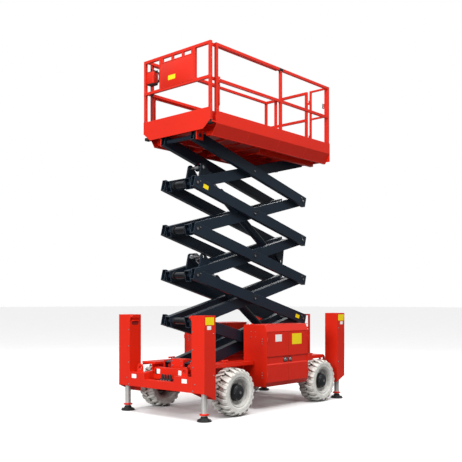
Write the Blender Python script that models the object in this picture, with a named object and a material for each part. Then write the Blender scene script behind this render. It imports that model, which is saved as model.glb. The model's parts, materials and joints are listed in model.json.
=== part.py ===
"""A rough-terrain scissor lift: chassis on four wheels with outriggers, a five-stage
scissor stack raised by two cylinders, and a platform with a roll-out extension.

Units are metres. +X is the front, +Y the machine's left side, +Z up. The origin is on
the floor, in the middle of the chassis. The stack is stored partly raised.
"""

import math

import bmesh
import bpy
from mathutils import Matrix, Vector

GAP = 0.0003  # between pieces that touch
CLEAR = 0.006  # between pieces that move past each other

# Scissor stack
STAGES = 5
ARM_LENGTH = 2.628  # pin to pin
ARM_ANGLE = math.radians(14.53)  # as stored
ARM_DEPTH = 0.160
ARM_TIP = 0.070  # beyond the pin
ARM_WALL = 0.008
INNER_ARM = (0.150, 0.250)  # from the middle plane
OUTER_ARM = (0.266, 0.341)
BASE_PIN_Z = 0.675
SHAFT_RADIUS = 0.030
HUB_TUBE_RADIUS = 0.047
PIN_SIDES = 12
ROLLER_RADIUS = 0.050
LUG = (0.118, 0.144)  # cylinder lugs, clear of the next stage's arms as the stack comes down
LUG_WELD = (0.140, 0.1525)  # the lugs' feet, on the inner arms' inside faces
LUG_RADIUS = 0.055
LUG_FOOT = 0.13  # half length along the arm
LUG_WELD_HALF = 0.012
BASE_EYE = (-2.196, -0.263)  # from an inner arm's front pin, along and across the arm
ROD_EYE = (-0.387, 0.197)

# Cylinders
EYE_PIN_RADIUS = 0.025
EYE_RADIUS = 0.055
EYE_WIDTH = 0.0415  # half width
BARREL_RADIUS = 0.064
BARREL_BORE = 0.048
BARREL_LENGTH = 1.740
BARREL_FLOOR = 0.100
GLAND_LENGTH = 0.080
ROD_RADIUS = 0.036
ROD_LENGTH = 1.850
ROD_CLEAR = 0.0005
CYLINDER_SIDES = 16
CYLINDER_ASIDE = 0.044  # the lower one to the right, the upper one to the left

# Chassis
CHASSIS_HALF = 1.700
RAIL = (0.347, 0.410 - GAP)
RAIL_Z = (0.460, 0.600)
WEB_THICK = 0.012
FLANGE_THICK = 0.012
TRACK_FRONT_X = -0.020
TRACK_REAR_X = -1.460
BEAM_DEPTH = 0.100
BEAM_Z = (0.381, 0.588)
BEAM_NOTCH = (-0.320, 0.290)
BEAM_NOTCH_Z = 0.494
LUG_PLATE_Y = 0.460
FENDER_Y = 0.620
FENDER_Z = (0.700, 0.730)
CLEAT_Y = 0.550
CLEAT_Z = 0.760
BRACKET_HALF_X = 0.082  # about the lowest inner arms' front pin
BRACKET_FLOOR_Z = (0.490, 0.560)
CROSS_BLOCK_X = (1.392, 1.500)
CROSS_BLOCK_Z = 0.656
CROSS_BLOCK_Y = 0.322
SIDE_BRACKET = (0.2625, 0.2825)
SIDE_BRACKET_Z = 0.755
MID_BRACKET_Y = 0.130
MID_BRACKET_Z = 0.785

# Outriggers
OUTRIGGER_X = (1.480, 1.700)
OUTRIGGER_Y = (0.640, 0.880)
OUTRIGGER_TOP = 1.426
OUTRIGGER_FOOT = (0.286, 0.381)  # at the inner and outer X
OUTRIGGER_WALL = 0.006
LEG_X = 1.605
LEG_Y = 0.787
LEG_RADIUS = 0.040
LEG_CLEAR = 0.0004
LEG_SIDES = 12
LEG_TOP = 1.050
GUIDES_Z = (0.450, 0.720)
GUIDE_THICK = 0.020
PAD_RADIUS = 0.100
PAD_HEIGHT = 0.075
PAD_PLATE = (0.065, 0.085, 0.100)  # radius, underside, top

# Wheels and axles
WHEEL_RADIUS = 0.338
WHEEL_WIDTH = 0.300
WHEEL_Y = 0.745
FRONT_AXLE_X = 0.980
REAR_AXLE_X = -1.080
RIM_RADIUS = 0.200
RIM_HALF = 0.120  # half width
HUB_RADIUS = 0.120
WHEEL_SIDES = 24
KINGPIN_Y = 0.540
KINGPIN_RADIUS = 0.020
SPINDLE_RADIUS = 0.035
SPINDLE_END = 0.850
AXLE_HALF_X = 0.060
AXLE_Z = (0.270, 0.410)
AXLE_END = 0.470
KNUCKLE_HALF = (0.045, 0.030, 0.065)
CLEVIS_THICK = 0.022

# Side boxes
BOX_X = (-0.680, 0.353)
BOX_Y = (0.410, 0.860)
BOX_Z = (0.350, 1.265)
BOX_WALL = 0.004
BOX_TOP_CHAMFER = (0.040, 0.095)
BOX_FOOT_CHAMFER = (0.040, 0.070)
DOOR_SEAM_X = -0.170
DOOR_TOP = 1.160
DOOR_GAP = 0.005
DOOR_THICK = 0.004
GROOVE_Z = (0.677, 0.800)
GROOVE_DEPTH = 0.014
DOOR_HINGES_Z = (0.500, 1.020)
DOOR_HINGE_TALL = 0.030
DOOR_HINGE_RADIUS = 0.006
DOOR_HINGE_STAND = 0.008
SHELF_LONG = 0.110  # the step box on the rear panel
SHELF_Y = 0.750
SHELF_Z = (0.690, 0.800)

# Platform, by heights above the floor in the stored pose
DECK_X = (-1.546, 1.345)
DECK_Z = (4.106, 4.124)
SKIRT_Y = 0.690
SKIRT_THICK = 0.006
TOE_Z = 4.274
SKIRT_BEND_Z = 4.100
SKIRT_LIP = (0.600, 3.940)
RAIL_FRONT_X = 1.233
RAIL_MID_X = -0.226
RAIL_LINE_Y = 0.668
TUBE = 0.040
RAIL_TOP_Z = 5.224
MID_RAIL_Z = 4.715
REAR_MID_RAIL_Z = 4.740
GATE_POST_Y = 0.226
GATE_HINGE_Y = 0.285
GATE_HINGES_Z = (4.400, 5.000)
GATE_HINGE_TALL = 0.035
GATE_HINGE_RADIUS = 0.011
RIB_THICK = 0.030
RIB_Z = 3.985

# Platform extension
EXTENSION_REAR_X = -0.180
END_PLATE_X = 1.385
PAD_LONG = 0.080  # slide pads between the two decks
PAD_Y = (0.480, 0.540)
EXTENSION_DECK_Z = (4.131, 4.143)
EXTENSION_RAIL = (0.608, 0.636)
EXTENSION_MID_Z = 4.731
END_TOE_Z = (4.020, 4.306)
END_TOE_CUT = (0.140, 0.110)  # the end plate's cut lower corners, across and up
PANEL_Y = (-0.310, 0.350)
PANEL_Z = 5.120
CONTROL_BOX_Z = (4.860, 5.060)
CONTROL_BOX_WIDE = 0.260

# Worked out from the values above
FLATS = math.cos(math.pi / PIN_SIDES)
BORE_RADIUS = (SHAFT_RADIUS + GAP) / FLATS
EYE_BORE_RADIUS = (EYE_PIN_RADIUS + GAP) / FLATS
KINGPIN_BORE_RADIUS = (KINGPIN_RADIUS + GAP) / FLATS
SPAN = ARM_LENGTH * math.cos(ARM_ANGLE)
RISE = ARM_LENGTH * math.sin(ARM_ANGLE)
PIN_X = SPAN / 2
TOP_PIN_Z = BASE_PIN_Z + STAGES * RISE
LEFT = 1
RIGHT = -1
SIDES = ((LEFT, "left"), (RIGHT, "right"))
ENDS = ((1, "front"), (-1, "rear"))

RED = ((0.80, 0.045, 0.012), 0.40, 0.0)
DARK_RED = ((0.33, 0.012, 0.010), 0.50, 0.0)
ARM_PAINT = ((0.022, 0.030, 0.038), 0.42, 0.0)
BLACK = ((0.012, 0.012, 0.013), 0.50, 0.0)
TYRE_RUBBER = ((0.62, 0.61, 0.58), 0.85, 0.0)
RIM_PAINT = ((0.70, 0.69, 0.65), 0.45, 0.0)
STEEL = ((0.60, 0.60, 0.58), 0.28, 1.0)
BEACON_LENS = ((0.55, 0.01, 0.01), 0.20, 0.0)
GREY = ((0.16, 0.17, 0.18), 0.55, 0.0)

ALONG = {
    "X": lambda a, b, c: (c, a, b),
    "Y": lambda a, b, c: (a, c, b),
    "Z": lambda a, b, c: (a, b, c),
}


def clear_scene():
    for item in list(bpy.data.objects):
        bpy.data.objects.remove(item, do_unlink=True)


def helper(shape):
    """The bmesh as an object that is only an ingredient of a sub-part."""
    bmesh.ops.recalc_face_normals(shape, faces=shape.faces)
    mesh = bpy.data.meshes.new("ingredient")
    shape.to_mesh(mesh)
    shape.free()
    item = bpy.data.objects.new("ingredient", mesh)
    item.hide_render = True
    item.display_type = "WIRE"
    bpy.context.scene.collection.objects.link(item)
    return item


def prism(outline, axis, span):
    """An outline of (y, z), (x, z) or (x, y) points, extruded along X, Y or Z."""
    low, high = min(span), max(span)
    place = ALONG[axis]
    shape = bmesh.new()
    face = shape.faces.new([shape.verts.new(place(a, b, low)) for a, b in outline])
    grown = bmesh.ops.extrude_face_region(shape, geom=[face])["geom"]
    moved = [item for item in grown if isinstance(item, bmesh.types.BMVert)]
    bmesh.ops.translate(shape, verts=moved, vec=place(0, 0, high - low))
    return helper(shape)


def block(x, y, z):
    outline = [(x[0], y[0]), (x[1], y[0]), (x[1], y[1]), (x[0], y[1])]
    return prism(outline, "Z", z)


def cylinder(start, end, radius, sides=PIN_SIDES, step=0.0):
    """A cylinder between two points, its flats turned by a share of a side."""
    start, end = Vector(start), Vector(end)
    along = end - start
    turn = along.to_track_quat("Z", "Y").to_matrix().to_4x4()
    turn @= Matrix.Rotation(2 * math.pi * step / sides, 4, "Z")
    shape = bmesh.new()
    bmesh.ops.create_cone(
        shape,
        cap_ends=True,
        segments=sides,
        radius1=radius,
        radius2=radius,
        depth=along.length,
        matrix=Matrix.Translation((start + end) / 2) @ turn,
    )
    return helper(shape)


def cross_cylinder(x, z, y, radius, sides=PIN_SIDES, step=0.0):
    """A cylinder across the machine, from y[0] to y[1]."""
    return cylinder((x, min(y), z), (x, max(y), z), radius, sides, step)


def turned(profile, sides, matrix):
    """A closed profile of (radius, height) points, turned about its axis."""
    shape = bmesh.new()
    angles = [2 * math.pi * i / sides for i in range(sides)]
    rings = []
    for radius, height in profile:
        if radius == 0:
            rings.append([shape.verts.new((0, 0, height))] * sides)
            continue
        rings.append(
            [
                shape.verts.new((radius * math.cos(a), radius * math.sin(a), height))
                for a in angles
            ]
        )
    for first, second in zip(rings, rings[1:] + rings[:1]):
        for i in range(sides):
            j = (i + 1) % sides
            corners = dict.fromkeys((first[i], first[j], second[j], second[i]))
            if len(corners) > 2:
                shape.faces.new(list(corners))
    bmesh.ops.transform(shape, matrix=matrix, verts=shape.verts)
    return helper(shape)


def inset(outline, wall):
    """A convex outline moved inwards by the wall."""
    count = len(outline)
    area = sum(
        outline[i][0] * outline[(i + 1) % count][1]
        - outline[(i + 1) % count][0] * outline[i][1]
        for i in range(count)
    )
    inward = 1 if area > 0 else -1
    lines = []
    for i in range(count):
        start = Vector(outline[i])
        run = (Vector(outline[(i + 1) % count]) - start).normalized()
        lines.append((start + inward * wall * Vector((-run.y, run.x)), run))
    points = []
    for (p, r), (q, s) in zip(lines[-1:] + lines[:-1], lines):
        step = (q - p).cross(s) / r.cross(s)
        points.append(tuple(p + step * r))
    return points


def paint(item, finish):
    colour, roughness, metallic = finish
    material = bpy.data.materials.new(item.name)
    material.use_nodes = True
    shader = material.node_tree.nodes["Principled BSDF"]
    shader.inputs["Base Color"].default_value = (*colour, 1)
    shader.inputs["Roughness"].default_value = roughness
    shader.inputs["Metallic"].default_value = metallic
    item.data.materials.clear()
    item.data.materials.append(material)


def boolean(base, operation, pieces):
    group = bpy.data.collections.new(operation)
    for piece in pieces:
        group.objects.link(piece)
    modifier = base.modifiers.new(operation, "BOOLEAN")
    modifier.operation = operation
    modifier.operand_type = "COLLECTION"
    modifier.collection = group
    modifier.solver = "EXACT"
    return group


def fuse(name, finish, solids, holes=(), pivot=(0, 0, 0), turn=0.0):
    """One sub-part: its solids joined and its holes cut, turned about Y at its pivot."""
    base, used = solids[0], [*solids, *holes]
    groups = []
    if len(solids) > 1:
        groups.append(boolean(base, "UNION", solids[1:]))
    if holes:
        groups.append(boolean(base, "DIFFERENCE", holes))
    graph = bpy.context.evaluated_depsgraph_get()
    mesh = bpy.data.meshes.new_from_object(base.evaluated_get(graph))
    for item in used:
        bpy.data.objects.remove(item, do_unlink=True)
    for group in groups:
        bpy.data.collections.remove(group)
    mesh.name = name
    item = bpy.data.objects.new(name, mesh)
    bpy.context.scene.collection.objects.link(item)
    item.location = pivot
    item.rotation_euler = (0, turn, 0)
    mesh.shade_smooth()
    mesh.set_sharp_from_angle(angle=math.radians(35))
    paint(item, finish)
    return item


def recentre(item, pivot):
    """Put an unturned item's origin on its joint, where it stays in place."""
    item.data.transform(Matrix.Translation(-Vector(pivot)))
    item.location = pivot


def pair(side, low, high):
    """A span on one side of the middle plane, smaller value first."""
    return tuple(sorted((side * low, side * high)))


def arm_tube(x, y):
    """A rectangular tube along X, open at both ends, centred on the pin line."""
    half = ARM_DEPTH / 2
    solid = block(x, y, (-half, half))
    inner = (y[0] + ARM_WALL, y[1] - ARM_WALL)
    hollow = block((x[0] - 0.01, x[1] + 0.01), inner, (ARM_WALL - half, half - ARM_WALL))
    return solid, hollow


def lug_outline(eye):
    """A lug from the arm's side out to an eye, as (x, z) points, round at the eye."""
    x, z = eye
    up = math.copysign(1, z)
    foot = up * (ARM_DEPTH / 2 - 0.015)
    start = math.atan2(abs(z) - abs(foot), LUG_FOOT)
    arc = [
        (
            x + LUG_RADIUS * math.cos(start + (math.pi - 2 * start) * i / 6),
            z + up * LUG_RADIUS * math.sin(start + (math.pi - 2 * start) * i / 6),
        )
        for i in range(7)
    ]
    return [(x - LUG_FOOT, foot), (x - LUG_FOOT, -foot / 6), (x + LUG_FOOT, -foot / 6),
            (x + LUG_FOOT, foot), *arc]


def inner_frame(stage):
    """Two inner arms with hub tubes; its local origin is the front pin."""
    x = (-ARM_LENGTH - ARM_TIP, ARM_TIP)
    parts, bores = [], []
    for side, _ in SIDES:
        solid, hollow = arm_tube(x, pair(side, *INNER_ARM))
        parts.append(fuse("arm", ARM_PAINT, [solid], [hollow]))
        centre = pair(side, INNER_ARM[0] - 0.02, INNER_ARM[1] + 0.02)
        bores.append(cross_cylinder(-ARM_LENGTH / 2, 0, centre, BORE_RADIUS))
    reach = INNER_ARM[0] + ARM_WALL / 2
    beyond = INNER_ARM[1] + 0.02
    hubs = [-ARM_LENGTH] + [0] * (stage > 1)
    for place in hubs:
        parts.append(cross_cylinder(place, 0, (-reach, reach), HUB_TUBE_RADIUS))
    bores.append(cross_cylinder(0, 0, (-beyond, beyond), BORE_RADIUS))
    if stage < STAGES:
        bores.append(cross_cylinder(-ARM_LENGTH, 0, (-beyond, beyond), BORE_RADIUS))
    else:
        parts.extend(roller_shaft(-ARM_LENGTH))
    eyes = [BASE_EYE] * (stage in (1, 3)) + [ROD_EYE] * (stage in (3, 5))
    for eye in eyes:
        for side, _ in SIDES:
            parts.append(prism(lug_outline(eye), "Y", pair(side, *LUG)))
            foot_x = (eye[0] - LUG_FOOT, eye[0] + LUG_FOOT)
            parts.append(block(foot_x, pair(side, *LUG_WELD), (-LUG_WELD_HALF, LUG_WELD_HALF)))
        inside = INNER_ARM[0] - 0.001
        bores.append(cross_cylinder(*eye, (-inside, inside), EYE_BORE_RADIUS))
    pin = (PIN_X, 0, BASE_PIN_Z + (stage - 1) * RISE)
    return fuse(f"inner_frame_{stage}", ARM_PAINT, parts, bores, pin, ARM_ANGLE)


def roller_shaft(x):
    """A shaft right across, with a roller at each end that runs in a track."""
    end = RAIL[1] - WEB_THICK - CLEAR
    pieces = [cross_cylinder(x, 0, (-end + 0.002, end - 0.002), SHAFT_RADIUS)]
    for side, _ in SIDES:
        span = pair(side, RAIL[0] + 0.003, end)
        pieces.append(cross_cylinder(x, 0, span, ROLLER_RADIUS, 16))
    return pieces


def outer_frame(stage):
    """Two outer arms joined by the shafts at both ends; its origin is the centre pin."""
    half = ARM_LENGTH / 2
    x = (-half - ARM_TIP, half + ARM_TIP)
    parts = []
    reach = OUTER_ARM[0] + ARM_WALL / 2
    for side, _ in SIDES:
        solid, hollow = arm_tube(x, pair(side, *OUTER_ARM))
        parts.append(fuse("arm", ARM_PAINT, [solid], [hollow]))
        stub = pair(side, INNER_ARM[0] + CLEAR, reach)
        parts.append(cross_cylinder(0, 0, stub, SHAFT_RADIUS, step=0.5))
    for place in (-half, half):
        if stage == 1 and place < 0:
            parts.extend(roller_shaft(place))
            continue
        end = reach
        if stage == STAGES and place > 0:
            end = RAIL[1] - WEB_THICK - CLEAR
        parts.append(cross_cylinder(place, 0, (-end, end), SHAFT_RADIUS, step=0.5))
    centre = (0, 0, BASE_PIN_Z + (stage - 0.5) * RISE)
    return fuse(f"outer_frame_{stage}", ARM_PAINT, parts, (), centre, -ARM_ANGLE)


def lift_cylinder(name, base_stage, hinged_at_base):
    """A barrel and rod between the base eye on one inner arm and the rod eye two stages up."""
    base = eye_position(base_stage, BASE_EYE)
    rod = eye_position(base_stage + 2, ROD_EYE)
    run = rod - base
    turn = -math.atan2(run.z, run.x)
    aside = -CYLINDER_ASIDE if hinged_at_base else CYLINDER_ASIDE
    boss = (aside - EYE_WIDTH, aside + EYE_WIDTH)
    exact = LUG[1] - 0.0045
    loose = LUG[0] - CLEAR
    ahead = Matrix.Translation((0, aside, 0)) @ Matrix.Rotation(math.radians(90), 4, "Y")
    mouth = ROD_RADIUS + ROD_CLEAR
    profile = [
        (BARREL_BORE, BARREL_FLOOR),
        (BARREL_BORE, BARREL_LENGTH - GLAND_LENGTH),
        (mouth, BARREL_LENGTH - GLAND_LENGTH),
        (mouth, BARREL_LENGTH),
        (BARREL_RADIUS, BARREL_LENGTH),
        (BARREL_RADIUS, 0.030),
        (0, 0.030),
        (0, BARREL_FLOOR),
    ]
    pin = exact if hinged_at_base else loose
    barrel = [
        turned(profile, CYLINDER_SIDES, ahead),
        cross_cylinder(0, 0, boss, EYE_RADIUS, CYLINDER_SIDES),
        cross_cylinder(0, 0, (-pin, pin), EYE_PIN_RADIUS),
    ]
    fuse(f"{name}_barrel", ARM_PAINT, barrel, (), base, turn)
    pin = loose if hinged_at_base else exact
    shaft = [(0, 0), (ROD_RADIUS, 0), (ROD_RADIUS, -ROD_LENGTH), (0, -ROD_LENGTH)]
    rod_pieces = [
        turned(shaft, CYLINDER_SIDES, ahead),
        cross_cylinder(0, 0, boss, EYE_RADIUS, CYLINDER_SIDES),
        cross_cylinder(0, 0, (-pin, pin), EYE_PIN_RADIUS),
    ]
    fuse(f"{name}_rod", STEEL, rod_pieces, (), rod, turn)


def eye_position(stage, eye):
    """An eye on an inner arm, in the machine's frame as stored."""
    pin = Vector((PIN_X, 0, BASE_PIN_Z + (stage - 1) * RISE))
    return pin + Matrix.Rotation(ARM_ANGLE, 3, "Y") @ Vector((eye[0], 0, eye[1]))


def track(side, pin_z):
    """A C-section, open inwards, that a stack's roller runs in."""
    inner, outer = RAIL
    low = pin_z - ROLLER_RADIUS - GAP
    high = pin_z + ROLLER_RADIUS + GAP
    x = (TRACK_REAR_X, TRACK_FRONT_X)
    web = pair(side, outer - WEB_THICK, outer)
    flange = pair(side, inner, outer)
    return [
        block(x, web, (low - FLANGE_THICK, high + FLANGE_THICK)),
        block(x, flange, (low - FLANGE_THICK, low)),
        block(x, flange, (high, high + FLANGE_THICK)),
    ]


def end_beam(end):
    """The cross beam between two outriggers, with its sunk middle and tie-down lugs."""
    notch = sorted(end * y for y in BEAM_NOTCH)
    side = OUTRIGGER_Y[0] - GAP
    outline = [
        (-side, BEAM_Z[0]), (side, BEAM_Z[0]), (side, BEAM_Z[1]), (notch[1], BEAM_Z[1]),
        (notch[1], BEAM_NOTCH_Z), (notch[0], BEAM_NOTCH_Z), (notch[0], BEAM_Z[1]),
        (-side, BEAM_Z[1]),
    ]
    x = pair(end, CHASSIS_HALF - BEAM_DEPTH, CHASSIS_HALF)
    pieces = [prism(outline, "X", x)]
    holes = []
    for side, _ in SIDES:
        lug_x = pair(end, CHASSIS_HALF - 0.060, CHASSIS_HALF - 0.044)
        y = side * LUG_PLATE_Y
        arc = [
            (y + 0.060 * math.cos(a), BEAM_Z[1] + 0.070 + 0.060 * math.sin(a))
            for a in (math.pi * i / 8 for i in range(9))
        ]
        plate = [(y - 0.060, BEAM_Z[1] - 0.01), (y + 0.060, BEAM_Z[1] - 0.01), *arc]
        pieces.append(prism(plate, "X", lug_x))
        centre = BEAM_Z[1] + 0.066
        holes.append(
            cylinder((lug_x[0] - 0.01, y, centre), (lug_x[1] + 0.01, y, centre), 0.026)
        )
    return pieces, holes


def chassis_frame():
    pieces, holes = [], []
    for side, _ in SIDES:
        rail = pair(side, *RAIL)
        long = CHASSIS_HALF - BEAM_DEPTH + 0.01
        pieces.append(block((-long, long), rail, RAIL_Z))
        low = BASE_PIN_Z - ROLLER_RADIUS - GAP - FLANGE_THICK / 2
        pieces.append(block((TRACK_REAR_X, TRACK_FRONT_X), rail, (RAIL_Z[1] - 0.01, low)))
        pieces.extend(track(side, BASE_PIN_Z))
        pieces.extend(fenders(side))
    for end, _ in ENDS:
        beam, cuts = end_beam(end)
        pieces.extend(beam)
        holes.extend(cuts)
    pieces.extend(front_brackets())
    across = (-RAIL[0] - 0.01, RAIL[0] + 0.01)
    for x in ((-0.450, -0.350), (0.550, 0.650)):
        pieces.append(block(x, across, (RAIL_Z[0] + 0.01, RAIL_Z[1] - 0.04)))
    pieces.append(block((-1.560, -1.480), across, (RAIL_Z[0] + 0.01, RAIL_Z[1] - 0.02)))
    return fuse("chassis_frame", RED, pieces, holes)


def fenders(side):
    """The deck strips over the wheels, with a T-shaped rope cleat on the front one."""
    front = (BOX_X[1] + 0.012, OUTRIGGER_X[0] - 0.010)
    rear = (-OUTRIGGER_X[0] + 0.010, BOX_X[0] - 0.020)
    web = pair(side, RAIL[1] - WEB_THICK, RAIL[1])
    pieces = [
        block(front, pair(side, RAIL[0], FENDER_Y), FENDER_Z),
        block(front, web, (RAIL_Z[1] - 0.01, FENDER_Z[0] + 0.01)),
        block(rear, pair(side, RAIL[1] - WEB_THICK / 2, FENDER_Y), FENDER_Z),
    ]
    y = side * CLEAT_Y
    x = FRONT_AXLE_X - 0.044
    half = 0.055
    pieces.append(cylinder((x, y, FENDER_Z[0] + 0.01), (x, y, CLEAT_Z), 0.011))
    pieces.append(cylinder((x - half, y, CLEAT_Z), (x + half, y, CLEAT_Z), 0.012))
    return pieces


def front_brackets():
    """What holds the lowest inner arms' front pin, and the raised block before it."""
    x = (PIN_X - BRACKET_HALF_X, PIN_X + BRACKET_HALF_X)
    wide = (-RAIL[0] - 0.01, RAIL[0] + 0.01)
    low = BRACKET_FLOOR_Z[1] - 0.01
    block_y = (-CROSS_BLOCK_Y, CROSS_BLOCK_Y)
    pieces = [
        block((x[0] - 0.02, CROSS_BLOCK_X[1]), wide, BRACKET_FLOOR_Z),
        block(CROSS_BLOCK_X, block_y, (BRACKET_FLOOR_Z[0] + 0.01, CROSS_BLOCK_Z)),
        block(x, (-MID_BRACKET_Y, MID_BRACKET_Y), (low, MID_BRACKET_Z)),
        cross_cylinder(PIN_X, BASE_PIN_Z, (-SIDE_BRACKET[1] + 0.002, SIDE_BRACKET[1] - 0.002),
                       SHAFT_RADIUS),
    ]
    for side, _ in SIDES:
        pieces.append(block(x, pair(side, *SIDE_BRACKET), (low, SIDE_BRACKET_Z)))
    return pieces


def outrigger(end, end_name, side, side_name):
    """A tall steel box with an open slanted foot, and guides inside for its leg."""
    wall = OUTRIGGER_WALL
    inner_x, outer_x = OUTRIGGER_X
    outline = [
        (end * inner_x, OUTRIGGER_FOOT[0]), (end * outer_x, OUTRIGGER_FOOT[1]),
        (end * outer_x, OUTRIGGER_TOP), (end * inner_x, OUTRIGGER_TOP),
    ]
    whole = pair(side, *OUTRIGGER_Y)
    pieces = [
        prism(outline, "Y", pair(side, OUTRIGGER_Y[0], OUTRIGGER_Y[0] + wall)),
        prism(outline, "Y", pair(side, OUTRIGGER_Y[1] - wall, OUTRIGGER_Y[1])),
        block(pair(end, outer_x - wall, outer_x), whole, (OUTRIGGER_FOOT[1], OUTRIGGER_TOP)),
        block(pair(end, inner_x, inner_x + wall), whole, (OUTRIGGER_FOOT[0], OUTRIGGER_TOP)),
        block(pair(end, inner_x, outer_x), whole, (OUTRIGGER_TOP - wall, OUTRIGGER_TOP)),
    ]
    for z in GUIDES_Z:
        pieces.append(
            block(pair(end, inner_x + 0.002, outer_x - 0.002),
                  pair(side, OUTRIGGER_Y[0] + 0.002, OUTRIGGER_Y[1] - 0.002),
                  (z, z + GUIDE_THICK))
        )
    lip = [
        (side * OUTRIGGER_Y[0] + side * 0.004, OUTRIGGER_TOP - 0.001),
        (side * (OUTRIGGER_Y[0] - 0.020), OUTRIGGER_TOP - 0.001),
        (side * (OUTRIGGER_Y[0] - 0.020), OUTRIGGER_TOP - 0.050),
        (side * OUTRIGGER_Y[0] + side * 0.004, OUTRIGGER_TOP - 0.090),
    ]
    pieces.append(prism(lip, "X", pair(end, outer_x - 0.180, outer_x - 0.001)))
    x, y = end * LEG_X, side * LEG_Y
    bore = cylinder((x, y, GUIDES_Z[0] - 0.02), (x, y, GUIDES_Z[1] + 0.1),
                    LEG_RADIUS + LEG_CLEAR, LEG_SIDES)
    return fuse(f"outrigger_{end_name}_{side_name}", RED, pieces, [bore])


def leg(end, end_name, side, side_name):
    """A jack leg with its foot pad."""
    radius, under, top = PAD_PLATE
    profile = [
        (0, 0), (PAD_RADIUS, 0), (PAD_RADIUS, 0.012), (0.050, 0.055), (0.030, PAD_HEIGHT),
        (0.030, under), (radius, under), (radius, top), (LEG_RADIUS, top),
        (LEG_RADIUS, LEG_TOP), (0, LEG_TOP),
    ]
    piece = turned(profile, LEG_SIDES, Matrix.Identity(4))
    place = (end * LEG_X, side * LEG_Y, 0)
    return fuse(f"leg_{end_name}_{side_name}", STEEL, [piece], (), place)


def tyre_profile():
    """A tyre's section, from bead to bead over the tread, as (radius, across) points."""
    half = WHEEL_WIDTH / 2
    inner = RIM_RADIUS + GAP
    return [
        (inner, -RIM_HALF), (WHEEL_RADIUS - 0.045, -half), (WHEEL_RADIUS, -half + 0.034),
        (WHEEL_RADIUS, half - 0.034), (WHEEL_RADIUS - 0.045, half), (inner, RIM_HALF),
    ]


def rim_profile():
    """Half section of a rim with its hub, outer face at +; the spindle bore is blind."""
    bore = SPINDLE_RADIUS + 0.001
    end = SPINDLE_END - WHEEL_Y + CLEAR
    lip = RIM_RADIUS - 0.014
    return [
        (RIM_RADIUS, -RIM_HALF), (RIM_RADIUS, RIM_HALF), (lip, RIM_HALF), (lip - 0.008, 0.050),
        (HUB_RADIUS, 0.040), (HUB_RADIUS - 0.006, 0.140), (0, 0.140), (0, end), (bore, end),
        (bore, -0.110), (0.085, -0.110), (0.085, 0.020), (lip, 0.030), (lip, -RIM_HALF),
    ]


def wheel(x, end_name, side, side_name):
    """A tyre and a rim with its hub, both about the axle line."""
    turn = Matrix.Rotation(-side * math.radians(90), 4, "X")
    place = (x, side * WHEEL_Y, WHEEL_RADIUS)
    tyre = turned(tyre_profile(), WHEEL_SIDES, turn)
    fuse(f"tyre_{end_name}_{side_name}", TYRE_RUBBER, [tyre], (), place)
    rim = turned(rim_profile(), WHEEL_SIDES, turn)
    fuse(f"rim_{end_name}_{side_name}", RIM_PAINT, [rim], (), place)


def front_axle():
    """The steered axle's beam, its clevises and kingpins, and its feet under the rails."""
    x = (FRONT_AXLE_X - AXLE_HALF_X, FRONT_AXLE_X + AXLE_HALF_X)
    pieces = [block(x, (-AXLE_END, AXLE_END), AXLE_Z)]
    reach = KNUCKLE_HALF[2] + CLEAR
    narrow = (FRONT_AXLE_X - KNUCKLE_HALF[0], FRONT_AXLE_X + KNUCKLE_HALF[0])
    for side, _ in SIDES:
        pieces.append(block(x, pair(side, *RAIL), (AXLE_Z[1] - 0.01, RAIL_Z[0] - GAP)))
        for low in (WHEEL_RADIUS + reach, WHEEL_RADIUS - reach - CLEVIS_THICK):
            span = (low, low + CLEVIS_THICK)
            arm = pair(side, AXLE_END - 0.06, KINGPIN_Y + 0.035)
            pieces.append(block(narrow, arm, span))
        y = side * KINGPIN_Y
        tall = reach + CLEVIS_THICK - 0.004
        pieces.append(
            cylinder((FRONT_AXLE_X, y, WHEEL_RADIUS - tall),
                     (FRONT_AXLE_X, y, WHEEL_RADIUS + tall), KINGPIN_RADIUS, step=0.5)
        )
    return fuse("front_axle", DARK_RED, pieces)


def knuckle(side, side_name):
    """A steering knuckle and its wheel spindle, about the kingpin."""
    half = KNUCKLE_HALF
    body = block((-half[0], half[0]), (-half[1], half[1]), (-half[2], half[2]))
    spindle = cross_cylinder(0, 0, pair(side, 0.0, SPINDLE_END - KINGPIN_Y), SPINDLE_RADIUS)
    bore = cylinder((0, 0, -half[2] - 0.01), (0, 0, half[2] + 0.01), KINGPIN_BORE_RADIUS)
    place = (FRONT_AXLE_X, side * KINGPIN_Y, WHEEL_RADIUS)
    return fuse(f"knuckle_{side_name}", BLACK, [body, spindle], [bore], place)


def rear_axle():
    x = (REAR_AXLE_X - AXLE_HALF_X, REAR_AXLE_X + AXLE_HALF_X)
    end = WHEEL_Y - 0.165
    pieces = [
        block(x, (-end, end), AXLE_Z),
        cross_cylinder(REAR_AXLE_X, WHEEL_RADIUS, (-SPINDLE_END, SPINDLE_END), SPINDLE_RADIUS),
    ]
    for side, _ in SIDES:
        pieces.append(block(x, pair(side, *RAIL), (AXLE_Z[1] - 0.01, RAIL_Z[0] - GAP)))
    return fuse("rear_axle", DARK_RED, pieces)


def box_outline(side):
    (inner, outer), (low, high) = BOX_Y, BOX_Z
    points = [
        (inner, low), (outer - BOX_FOOT_CHAMFER[0], low), (outer, low + BOX_FOOT_CHAMFER[1]),
        (outer, high - BOX_TOP_CHAMFER[1]), (outer - BOX_TOP_CHAMFER[0], high), (inner, high),
    ]
    return [(side * y, z) for y, z in points]


def door_hinge_line(side, end):
    """Where a door's hinge axis stands: just outside the box's end panel corner."""
    x = BOX_X[1] - BOX_WALL - DOOR_GAP / 2 if end > 0 else BOX_X[0] + BOX_WALL + DOOR_GAP / 2
    return x, side * (BOX_Y[1] + DOOR_HINGE_STAND)


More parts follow.
